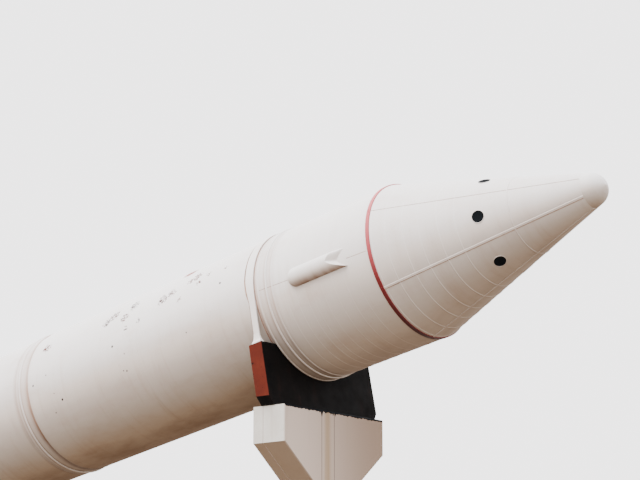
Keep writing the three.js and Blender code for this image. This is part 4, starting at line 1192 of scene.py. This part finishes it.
for label, station in SUPPORTS:
    axis_point = DATUM + Vector((station * math.cos(RISE), 0, station * math.sin(RISE)))
    pier_top = axis_point.z - SADDLE_DROP
    pier_x = axis_point.x + PIER_AHEAD

    # Saddle: a cradle block square to the booster's axis, level at its foot, lower corners cut away
    saddle = Piece()
    horn = math.degrees(math.asin(-HORN_LEVEL / (CASE + 0.6)))
    cradle = arc((0, 0), CASE + 1.0, -180 + horn, -horn, 64)
    rings = []
    for x, edge in ((-SADDLE_HALF, 1.0), (0, 0.0), (SADDLE_HALF, 1.0)):
        foot = -(SADDLE_DROP - 0.3) / math.cos(RISE) - x * math.tan(RISE)
        end = [(SADDLE_SIDE, HORN_LEVEL)] + [(SADDLE_SIDE, level) for level in SADDLE_LEVELS]
        end += [(SADDLE_SIDE, foot + SIDE_CUT), (SADDLE_SIDE - FOOT_CUT, foot)]
        loop = cradle + end + [(-y, z) for y, z in reversed(end)]
        rings.append([saddle.vertex((station + x, y, z), 0, edge) for y, z in loop])
    saddle.loft(rings)
    bmesh.ops.bevel(
        saddle.mesh,
        geom=[e for e in saddle.mesh.edges if e.calc_face_angle(0) > 0.9],
        offset=SADDLE_BEVEL,
        segments=2,
        affect="EDGES",
    )
    saddle.done(f"{label}_saddle_block", OXIDE_AND_SHADE, replaces=[f"{label}_saddle"])

    # Pier: cap, haunches, stem and footing
    haunch = min((PIER_WIDE - STEM) * HAUNCH, pier_top - CAP_DEPTH - FOOTING[2])
    stem = PIER_WIDE - haunch / HAUNCH
    foot = pier_top - CAP_DEPTH - haunch
    low = min(foot, FOOTING[2]) - 10
    side = [(PIER_WIDE, pier_top), (PIER_WIDE, pier_top - CAP_DEPTH), (stem, foot)]
    if foot - low > 50:
        side.append((stem, low))
    outline = [(-y, z) for y, z in side] + [(y, z) for y, z in reversed(side)]
    pier = Piece(WORLD)
    rings = []
    for x, inset in PIER_LEVELS:
        loop = moved_in(outline, inset) if inset else outline
        rings.append([pier.vertex((pier_x + x, y, z)) for y, z in loop])
    pier.loft(rings)
    pier.box(2 * FOOTING[0], 2 * FOOTING[1], FOOTING[2], Matrix.Translation((pier_x, 0, 0)), 12)
    pier.done(f"{label}_pier_block", CONCRETE, replaces=[f"{label}_pier"])

    sealant = Piece(WORLD)
    front = pier_x + PIER_HALF
    rings = []
    for i in range(SEALANT_STEPS + 1):
        across = (PIER_WIDE - PIER_CUT) * (2 * i / SEALANT_STEPS - 1)
        end = pier_top - PIER_CUT - sealant_depth(across)
        section = [(-14, pier_top), (-8, pier_top + 1.5), (2, pier_top - 8)]
        section += [(2.5, end + 2), (1, end), (-3, end)]
        rings.append([sealant.vertex((front + x, across, z)) for x, z in section])
    sealant.loft(rings)
    sealant.done(f"{label}_pier_sealant", BLACK)

# Attach ring with its struts, and the stiffener rings

ATTACH, GUSSET = at(1511), (34, 10, 84)
ring = Piece()
inner, outer = CASE + 0.3, CASE + 100
web = [
    (30, inner - 3),
    (30, outer - 18),
    (66, outer - 16),
    (70, outer - 12),
    (70, outer - 2),
    (68, outer),
]
ring.turned(both_ways(web, ATTACH))
for azimuth in range(0, 360, 15):
    for hand in (-1, 1):
        place = frame_at(azimuth + 7.5, ATTACH + hand * 48, CASE - 2)
        ring.box(*GUSSET, place)
ring.done("attach_ring_girder", WHITE, replaces=["attach_ring"])
spots = ring_spots(ATTACH + 55, outer, 120) + ring_spots(ATTACH - 55, outer, 120, first=1.5)
fasteners("attach_ring_bolts", spots, 7, 7)

# Struts: azimuth of the foot on the ring, and climb towards the strut's end, in degrees
STRUTS = [("upper", 142, 0), ("diagonal", 194, 30), ("lower", 218, 0)]
STRUT_END, STRUT_RADIUS, STRUT_SIDES, STRUT_BOLTS = 1290.0, 56, 48, 73
SOCKET_LENGTH, COLLAR_LENGTH, END_PLATE = 166, 34, 26
for label, azimuth, heading in STRUTS:
    climb = math.radians(heading)
    direction = Vector((0, math.cos(climb), math.sin(climb)))
    start = radial(azimuth) * (outer - 30)
    start.x = ATTACH
    length = (STRUT_END - start.y) / direction.y
    strut = Piece()
    socket = start + direction * SOCKET_LENGTH
    collar = start + direction * (SOCKET_LENGTH + COLLAR_LENGTH)
    plate = start + direction * (length - END_PLATE)
    strut.bar(start, start + direction * (length - 10), STRUT_RADIUS, STRUT_SIDES)
    strut.bar(start, socket, 78, STRUT_SIDES, 6)
    strut.bar(socket, collar, 70, STRUT_SIDES, 0, STRUT_RADIUS + 1)
    strut.bar(plate, start + direction * length, 88, STRUT_SIDES, 3)
    strut.done(f"attach_strut_{label}_tube", WHITE, replaces=[f"attach_strut_{label}"])
    up = direction.cross(AHEAD)
    spots = []
    for k in range(10):
        turn = math.tau * k / 10
        spot = AHEAD * math.cos(turn) * STRUT_BOLTS + up * math.sin(turn) * STRUT_BOLTS
        spots.append((plate + spot, -direction))
    fasteners(f"attach_strut_{label}_bolts", spots, 7, 7)

STIFFENERS = (1577, 1638, 1700)
STIFFENER = [
    (20, CASE - 3),
    (20, CASE + 6),
    (6, CASE + 9),
    (5, CASE + 31),
    (18, CASE + 33),
    (20, CASE + 38),
    (18, CASE + 40),
]
for number, station in enumerate(STIFFENERS, 1):
    middle = at(station)
    ring = Piece().turned(both_ways(STIFFENER, middle))
    ring.done(f"stiffener_ring_{number}_section", WHITE, replaces=[f"stiffener_ring_{number}"])
    spots = ring_spots(middle + 13, CASE + 6, 90) + ring_spots(middle - 13, CASE + 6, 90)
    fasteners(f"stiffener_ring_{number}_bolts", spots, 4.5, 5)

# Systems tunnel: covers end to end, each with a seam and a row of fasteners on both edges

TUNNEL_AZIMUTH, TUNNEL_RISE = 152.0, 66.0
TUNNEL_RUNS = [(424, 851.5), (851.5, 1171.5), (1171.5, 1503), (1519, 1834)]
LID = [(-79, 2), (-57, TUNNEL_RISE + 2.5), (57, TUNNEL_RISE + 2.5), (79, 2)]
LID_HALF = 14
ACROSS_RUN = Matrix(((0, 0, 1, 0), (1, 0, 0, 0), (0, 1, 0, 0), (0, 0, 0, 1)))
KEEP_CLEAR = [FRONT_SADDLE - 10, REAR_SADDLE - 10] + [at(station) for station in STIFFENERS]


def spaced(start, end, pitch, room):
    """Places evenly between two ends, apart from those near a strap or stiffener."""
    count = round((start - end) / pitch)
    places = [start + (end - start) * i / count for i in range(1, count)]
    return [x for x in places if all(abs(x - kept) >= room for kept in KEEP_CLEAR)]


for solid in numbered("systems_tunnel", 4):
    coat(solid, WHITE)
spots = []
lids = Piece()
for front, aft in TUNNEL_RUNS:
    for forward in spaced(at(front), at(aft), 95, 90):
        for hand in (-1, 1):
            place = frame_at(TUNNEL_AZIMUTH, forward, CASE + TUNNEL_RISE)
            spots.append((place @ Vector((0, hand * 46, 0)), place.to_3x3() @ Vector((0, 0, 1))))
    for forward in spaced(at(front), at(aft), 760, 110):
        upright = frame_at(TUNNEL_AZIMUTH, forward, CASE) @ ACROSS_RUN
        lids.prism(LID, -LID_HALF, LID_HALF, upright)
lids.done("systems_tunnel_cover_joints", WHITE)
fasteners("systems_tunnel_fasteners", spots, 5, 4)

# Aft skirt: flared shell with inner rings, lugs for the steering cylinders, posts and small motors

FLANGE_INNER, RIM, RIM_WALL = 780.0, 45.0, 55.0
front = SKIRT_FRONT - SEAM
shell = Piece()
outline = [
    (front, FLANGE_INNER),
    (front, SKIRT_NECK - 3, 0.3),
    (front - 3, SKIRT_NECK, 0.3),
    (front - 30, SKIRT_NECK, 0.1),
    (KNUCKLE + 8, SKIRT_NECK),
    (KNUCKLE, SKIRT_NECK + 1),
    (KNUCKLE - 8, SKIRT_NECK + 1 + 8 * FLARE * 0.8),
]
for forward in (at(1862), at(1876), at(1890), at(1904)):
    outline += bead(forward, 3, 6, skirt_radius(forward), 4, 0.08, FLARE)
outline += [
    (SKIRT_BASE + 60, skirt_radius(SKIRT_BASE + 60), 0.1),
    (SKIRT_BASE + 3, SKIRT_MOUTH, 0.3),
    (SKIRT_BASE, SKIRT_MOUTH - 3, 0.35),
    (SKIRT_BASE, SKIRT_MOUTH - RIM_WALL + 3, 0.35),
    (SKIRT_BASE + 3, SKIRT_MOUTH - RIM_WALL, 0.3),
    (SKIRT_BASE + RIM, skirt_radius(SKIRT_BASE + RIM) - RIM_WALL, 0.1),
    (SKIRT_BASE + RIM, skirt_radius(SKIRT_BASE + RIM) - SKIRT_WALL, 0.1),
]
for forward in (at(1912), at(1886)):
    wall = skirt_radius(forward) - SKIRT_WALL
    outline += [(forward - 5, wall + 5 * FLARE), (forward - 5, wall - 18)]
    outline += [(forward + 5, wall - 18), (forward + 5, wall - 5 * FLARE)]
outline += [
    (KNUCKLE, SKIRT_NECK - SKIRT_WALL),
    (SKIRT_FRONT - 60, SKIRT_NECK - SKIRT_WALL),
    (SKIRT_FRONT - 60, FLANGE_INNER),
]
shell.turned(outline)

EYE_RADIUS, EYE_HALF, LUG_GAP, LUG_THICK, LUG_NOSE, PIN = 800.0, 24.0, 1.0, 22.0, 46.0, 18.0
PIVOT = at(1858)
ACTUATORS = [("rock", -45.0), ("tilt", -135.0)]


def lug(into, place, reach, start, hole):
    """One ear with a round nose and a pin hole, reaching to the wall that place's Z points at."""
    turns = [math.radians(angle) for angle in range(180, 361, 12)]
    nose_points = [(LUG_NOSE * math.cos(turn), LUG_NOSE * math.sin(turn)) for turn in turns]
    outer_loop = [(-LUG_NOSE * 1.6, reach)] + nose_points + [(LUG_NOSE * 1.6, reach)]
    count = len(outer_loop)
    inner_loop = []
    for x, y in outer_loop:
        away = math.hypot(x, y)
        inner_loop.append((x / away * hole, y / away * hole))
    rings = []
    for depth in (start, start + LUG_THICK):
        for loop in (outer_loop, inner_loop):
            rings.append([into.vertex(place @ Vector((x, -depth, y))) for x, y in loop])
    outside_a, inside_a, outside_b, inside_b = rings
    for i in range(count):
        j = (i + 1) % count
        into.face([outside_a[i], outside_a[j], inside_a[j], inside_a[i]])
        into.face([outside_b[j], outside_b[i], inside_b[i], inside_b[j]])
        into.face([outside_a[j], outside_a[i], outside_b[i], outside_b[j]])
        into.face([inside_a[i], inside_a[j], inside_b[j], inside_b[i]])


for label, azimuth in ACTUATORS:
    place = frame_at(azimuth, PIVOT, EYE_RADIUS)
    reach = skirt_radius(PIVOT) - SKIRT_WALL / 2 - EYE_RADIUS
    for start in (EYE_HALF + LUG_GAP, -EYE_HALF - LUG_GAP - LUG_THICK):
        lug(shell, place, reach, start, PIN + 0.5)
shell.done("aft_skirt_shell", INNER_WHITE, replaces=["aft_skirt"])
spots = ring_spots(SKIRT_FRONT - 30, SKIRT_NECK, 120, first=1.5)
fasteners("aft_skirt_flange_bolts", spots, 5, 6)

POST_TOP, POST_SHOULDER, POST_FRONT, POST_REACH = at(1886), 1200.0, SKIRT_BASE + 110, 1345.0
POST_PROFILE = [
    (POST_TOP, 1140.0),
    (POST_TOP, POST_SHOULDER),
    (POST_FRONT, POST_REACH),
    (SKIRT_BASE - 16, POST_REACH),
    (SKIRT_BASE - 16, SKIRT_MOUTH - RIM_WALL),
    (SKIRT_BASE - 0.3, SKIRT_MOUTH - RIM_WALL),
    (SKIRT_BASE - 0.3, SKIRT_MOUTH - 40),
]
POST_INSET = 14
POST_SLICES = [(-120, -92, 0), (-92, 92, POST_INSET), (92, 120, 0)]
SIDEWAYS = Matrix(((1, 0, 0, 0), (0, 0, -1, 0), (0, 1, 0, 0), (0, 0, 0, 1)))
posts = Piece()
post_bolts = []
for azimuth in (45, 135, 225, 315):
    for low, high, inset in POST_SLICES:
        points = [(x, r - (inset if 0 < k < 4 else 0)) for k, (x, r) in enumerate(POST_PROFILE)]
        posts.prism(points, low, high, frame_at(azimuth, 0, 0) @ SIDEWAYS)
    for across in (-55, 55):
        for forward in (at(1896), at(1908)):
            slope = (POST_REACH - POST_SHOULDER) / (POST_TOP - SKIRT_BASE - 110)
            radius = POST_SHOULDER + (POST_TOP - forward) * slope - POST_INSET
            place = frame_at(azimuth, forward, radius)
            direction = place.to_3x3() @ Vector((0.28, 0, 1))
            post_bolts.append((place @ Vector((0, across, 0)), direction))
posts.done("hold_down_posts_forged", WHITE, replaces=numbered("hold_down_post", 4))
fasteners("hold_down_post_bolts", post_bolts, 11, 10, STEEL)

MOTOR_RADIUS, MOTOR_HALF, MOTOR_MOUTH = 80.0, 190.0, at(1862)
MOTOR_OUTLINE = [
    (MOTOR_HALF, 58),
    (MOTOR_HALF, 66),
    (MOTOR_HALF - 60, 62),
    (MOTOR_HALF - 75, MOTOR_RADIUS - 3),
    (MOTOR_HALF - 80, MOTOR_RADIUS),
    (-MOTOR_HALF + 10, MOTOR_RADIUS),
    (-MOTOR_HALF, MOTOR_RADIUS - 10),
    (-MOTOR_HALF, 0),
    (MOTOR_HALF - 90, 0),
    (MOTOR_HALF - 90, 40),
]
MOTOR_THROAT = [
    (MOTOR_HALF - 84, 0),
    (MOTOR_HALF - 84, 42),
    (MOTOR_HALF - 30, 52),
    (MOTOR_HALF - 34, 0),
]
CLAMP, BRACKET, BRACKET_FOOT = [(12, 79), (12, 84)], (230, 104, 105), -18
lean = math.atan(FLARE)
motors, mouths = Piece(), Piece()
for azimuth in (166.5, 175.5, 184.5, 193.5):
    middle = MOTOR_MOUTH - MOTOR_HALF * math.cos(lean)
    place = frame_at(azimuth, middle, skirt_radius(middle)) @ Matrix.Rotation(lean, 4, "Y")
    tube_place = place @ Matrix.Translation((0, 0, MOTOR_RADIUS + 30))
    motors.turned(MOTOR_OUTLINE, 64, tube_place)
    mouths.turned(MOTOR_THROAT, 48, tube_place)
    motors.box(*BRACKET, place @ Matrix.Translation((0, 0, BRACKET_FOOT)), 6)
    for shift in (-95, 20):
        motors.turned(both_ways(CLAMP, shift), 64, tube_place)
motors.done("aft_separation_motor_tubes", WHITE, replaces=numbered("aft_separation_motor", 4))
mouths.done("aft_separation_motor_mouths", BLACK)

# Hydraulic power units inside the skirt, with pipes

UNIT_LONG, UNIT_WIDE, UNIT_FOOT = 320, 250, 875
VALVES, VALVES_FOOT = (200, 120, 60), (60, 40, 845)
TANK, TANK_MIDDLE = arc((0, 0), 88, 0, 180, 20), (-50, 0, 860)
PIPE_BENDS = [(80, 1, 860), (110, 1.25, 850), (165, 1.4, 870), (190, 1.4, 930)]
units, pipes = Piece(), Piece()
for azimuth in (-15, -165):
    middle = at(1884)
    place = frame_at(azimuth, middle, 0)
    wall = skirt_radius(middle + 165) - SKIRT_WALL - 2
    foot = place @ Matrix.Translation((0, 0, UNIT_FOOT))
    units.box(UNIT_LONG, UNIT_WIDE, wall - UNIT_FOOT - 25, foot, 10)
    units.box(*VALVES, place @ Matrix.Translation(VALVES_FOOT), 8)
    units.turned(TANK, 48, place @ Matrix.Translation(TANK_MIDDLE))
    for shift in (-90, 90):
        pipes.tube([place @ Vector((x, shift * out, up)) for x, out, up in PIPE_BENDS], 9)
units.done("hydraulic_power_unit_casings", ZINC, replaces=numbered("hydraulic_power_unit", 2))
pipes.done("hydraulic_power_unit_pipes", STEEL)

# Nozzle, round the gimbal's pivot point

EXIT = at(1989.6) - GIMBAL
EXIT_RADIUS, BELL_WALL = 950.0, 22.0
BALL, BEARING_BORE, PAD_BORE, BEARING_DEPTH, SOCKET_DEPTH = 310.0, 310.4, 310.6, 61, 61.8
BELL = [
    (60, 342),
    (0, 395),
    (-60, 450),
    (-150, 524),
    (-250, 600),
    (-370, 671),
    (-500, 738),
    (-650, 804),
    (-800, 862),
    (-940, 911),
    (EXIT, EXIT_RADIUS),
]
bell = Piece(NOZZLE)
ball = arc((0, 0), BALL, 0, 60, 24)
outline = ball + [(100, ball[-1][1]), (100, 400), (60, 475), (60, 500), (-110, 500), (-110, 530)]
outline += [(x, r + BELL_WALL) for x, r in BELL[4:-1]]
outline += [
    (EXIT + 50, EXIT_RADIUS - 50 * 0.34 + BELL_WALL),
    (EXIT + 46, EXIT_RADIUS + BELL_WALL),
    (EXIT + 4, EXIT_RADIUS + BELL_WALL),
    (EXIT, EXIT_RADIUS + BELL_WALL - 4),
    (EXIT, EXIT_RADIUS + 1),
]
bell.turned(outline + [(x, r + 1) for x, r in reversed(BELL[:-1])] + [(60, 0)])
bell.done("nozzle_exit_cone", CHARRED, "nozzle", ["nozzle_bell"])
liner = Piece(NOZZLE)
liner.turned([(x, r - 1) for x, r in BELL[1:]] + [(x, r + 2) for x, r in reversed(BELL[1:])])
liner.turned([(57, 0), (57, 343), (61, 343), (61, 0)])
liner.done("nozzle_exit_liner", LINER, "nozzle")
bands = Piece(NOZZLE)
for forward in (-330, -520, -720, -900):
    front, aft = next(pair for pair in zip(BELL, BELL[1:]) if pair[1][0] <= forward <= pair[0][0])
    wall = front[1] + (aft[1] - front[1]) * (forward - front[0]) / (aft[0] - front[0])
    outline = [(x, r) for x, r, _ in bead(forward, 4, 11, wall + 21.5, 4, 0, 0.35)]
    bands.turned(outline + [(forward, wall + 10)])
bands.done("nozzle_exit_bands", CHARRED, "nozzle")

LAYERS, LAYER_GROOVE = 16, 1.5
FACET, SWING, RIM_ANGLE = math.cos(math.pi / 44), math.radians(5), math.radians(50)
rim_reach = math.hypot(math.sin(RIM_ANGLE), FACET * math.cos(RIM_ANGLE))
hollow = BEARING_BORE * rim_reach / (math.cos(SWING) * FACET)
bearing = Piece(NOZZLE)
outline = arc((0, 0), PAD_BORE, 15, 55, 18)
for k in range(LAYERS + 1):
    angle = math.radians(55 - 40 * k / LAYERS)
    radius = hollow + BEARING_DEPTH - (LAYER_GROOVE if k % 2 else 0)
    outline.append((radius * math.cos(angle), radius * math.sin(angle)))
bearing.turned(outline)
bearing.done("flexible_bearing_pad", RUBBER, "bearing", ["flexible_bearing"])

socket = arc((0, 0), hollow + SOCKET_DEPTH, 50, 0, 24)
housing = Piece(NOZZLE)
face = socket[0][0]
outline = [(560, 0), (560, 440), (face + 70, 440), (face + 60, 436), (face + 4, 384), (face, 378)]
housing.turned(outline + socket)
housing.done("nozzle_housing_casting", STEEL, replaces=["nozzle_housing"])
DOME_FRONT, DOME_BACK, DOME_RIM = SKIRT_FRONT - GIMBAL - SEAM, 560.3, 779.7
DOME = [
    (DOME_FRONT, 0),
    (DOME_FRONT, DOME_RIM),
    (DOME_FRONT - 62, DOME_RIM),
    (DOME_FRONT - 70, DOME_RIM - 6),
    (DOME_FRONT - 112, DOME_RIM - 30),
    (DOME_FRONT - 150, DOME_RIM - 70),
    (DOME_FRONT - 195, DOME_RIM - 140),
    (DOME_BACK + 60, DOME_RIM - 220),
    (DOME_BACK + 20, 500),
    (DOME_BACK, 460),
    (DOME_BACK, 0),
]
dome = Piece(NOZZLE).turned(DOME)
dome.done("aft_dome_shell", CHARRED, replaces=["aft_dome"])
spots = ring_spots(DOME_FRONT - 70, DOME_RIM - 22, 60, Vector((-1, 0, 0)))
fasteners("aft_dome_bolts", spots, 9, 9, STEEL, place=NOZZLE)

# Steering ring, cylinders and rods

ROD_EYE, ROD_EYE_HALF, ROD_PIN, ROD_EAR_GAP, ROD_RADIUS = 675.0, 18.0, 15.0, 16.0, 19.0
STEER_SECTION = [(45, 500.3), (45, 541), (41, 545), (20, 545), (16, 538)]
steer = Piece(NOZZLE)
steer.turned(both_ways(STEER_SECTION))
for label, azimuth in ACTUATORS:
    place = frame_at(azimuth, 0, ROD_EYE) @ Matrix.Rotation(math.pi, 4, "X")
    half_gap = ROD_EYE_HALF + ROD_EAR_GAP
    for start in (half_gap, -half_gap - LUG_THICK):
        lug(steer, place, ROD_EYE - 545 + 20, start, ROD_PIN + 0.2)
    side = radial(azimuth + 90)
    middle = radial(azimuth) * ROD_EYE
    half = half_gap + LUG_THICK
    steer.bar(middle - side * (half - 5), middle + side * (half - 5), ROD_PIN, 32, 2)
steer.done("steering_ring_casting", STEEL, "nozzle", ["steering_ring"])
spots = ring_spots(45, 523, 48, AHEAD)
fasteners("steering_ring_bolts", spots, 6, 6, body="nozzle", place=NOZZLE)

CYLINDER = [
    (70, 0),
    (70, 56),
    (76, 62),
    (100, 62),
    (104, 57),
    (340, 57),
    (344, 62),
    (366, 62),
    (372, 56),
    (372, ROD_RADIUS + 0.4),
    (240, ROD_RADIUS + 0.4),
    (240, 0),
]
CYLINDER_PIPE = [(-50, 0, 64), (-80, 0, 66), (-100, 0, 62), (-112, 0, 52)]
ROD_EYE_SECTION = [(ROD_EYE_HALF, 23.4), (ROD_EYE_HALF, 41), (ROD_EYE_HALF - 3, 44)]
for label, azimuth in ACTUATORS:
    out = radial(azimuth)
    fixed = out * EYE_RADIUS
    fixed.x = PIVOT
    moving = out * ROD_EYE
    moving.x = GIMBAL
    span = (moving - fixed).length
    ahead = (moving - fixed).normalized()
    side = out.cross(AHEAD)
    turn = AHEAD.rotation_difference(ahead).to_matrix().to_4x4()
    along = Matrix.Translation(fixed) @ turn
    body = Piece()
    body.turned(CYLINDER, 64, along)
    body.bar(fixed, fixed + ahead * 80, EYE_HALF - 2, 32)
    body.bar(fixed - side * 23, fixed + side * 23, 38, 48, 3)
    body.bar(fixed - side * 55, fixed + side * 55, PIN, 32, 2)
    across = ahead.cross(side)
    basis = Matrix((ahead, side, across)).transposed().to_4x4()
    basis.translation = fixed + ahead * 200
    body.box(110, 44, 20, basis @ Matrix.Translation((0, 0, 52)), 4)
    body.tube([basis @ Vector(point) for point in CYLINDER_PIPE], 5)
    solid = f"{label}_actuator_cylinder"
    body.done(f"{solid}_body", ZINC, f"{label}_cylinder", [solid])
    rod = Piece()
    shaft = ROD_RADIUS - 1
    outline = [(300, 0), (300, shaft - 2), (302, shaft), (span - 62, shaft)]
    outline += [(span - 56, ROD_RADIUS), (span - 38, ROD_RADIUS), (span - 38, 0)]
    rod.turned(outline, 48, along)
    rod.done(f"{label}_actuator_rod_shaft", CHROME, f"{label}_rod")
    eye = Piece()
    turn = AHEAD.rotation_difference(side).to_matrix().to_4x4()
    eye.turned(both_ways(ROD_EYE_SECTION)[::-1], 64, Matrix.Translation(moving) @ turn)
    eye.done(f"{label}_actuator_rod_eye", STEEL, f"{label}_rod", [f"{label}_actuator_rod"])

# Floor, light and camera

FLOOR_HALF = 120.0


def stage_floor():
    """A plain floor under the piers, which isn't part of the object."""
    f = Finish("studio_floor", roughness=0.9)
    patch = f.noise(f.place(along_booster=False), 0.6, 3.0, 0.5)
    material = f.done(f.mix(patch, srgb(142, 130, 116), srgb(134, 122, 108)))
    data = bpy.data.meshes.new("floor")
    corners = [(-1, -1), (1, -1), (1, 1), (-1, 1)]
    data.from_pydata([(x * FLOOR_HALF, y * FLOOR_HALF, 0) for x, y in corners], [], [(0, 1, 2, 3)])
    data.materials.append(material)
    floor = bpy.data.objects.new("floor", data)
    bpy.context.scene.collection.objects.link(floor)


stage_floor()

SKY_COLOUR, SKY_STRENGTH = srgb(236, 234, 235), 4.2
world = bpy.data.worlds.new("studio_sky")
world.use_nodes = True
sky = world.node_tree.nodes["Background"]
sky.inputs["Color"].default_value = SKY_COLOUR
sky.inputs["Strength"].default_value = SKY_STRENGTH
bpy.context.scene.world = world


def soft_light(name, place, target, size, power, colour):
    """A round area light that looks at a target."""
    data = bpy.data.lights.new(name, "AREA")
    data.shape = "DISK"
    data.size = size
    data.energy = power
    data.color = colour[:3]
    lamp = bpy.data.objects.new(name, data)
    lamp.location = place
    lamp.rotation_euler = (Vector(target) - Vector(place)).to_track_quat("-Z", "Y").to_euler()
    bpy.context.scene.collection.objects.link(lamp)


soft_light(
    "overhead_softbox",
    place=(-4, -14, 24),
    target=(-3, 0, 4),
    size=16,
    power=12000,
    colour=srgb(255, 252, 248),
)

# The camera fitted to the photo: lens in mm, place in metres, pitch and heading in degrees
LENS, SENSOR, SEES_TO = 112.64, 36.0, 500
CAMERA_PLACE = (DATUM.x / 1000 + 13.2885, -17.9975, 0.549)
PITCH, HEADING = 103, 39.32
camera_data = bpy.data.cameras.new("photo_camera")
camera_data.lens = LENS
camera_data.sensor_width = SENSOR
camera_data.clip_end = SEES_TO
camera = bpy.data.objects.new("photo_camera", camera_data)
camera.location = CAMERA_PLACE
camera.rotation_euler = (math.radians(PITCH), 0, math.radians(HEADING))
bpy.context.scene.collection.objects.link(camera)
bpy.context.scene.camera = camera
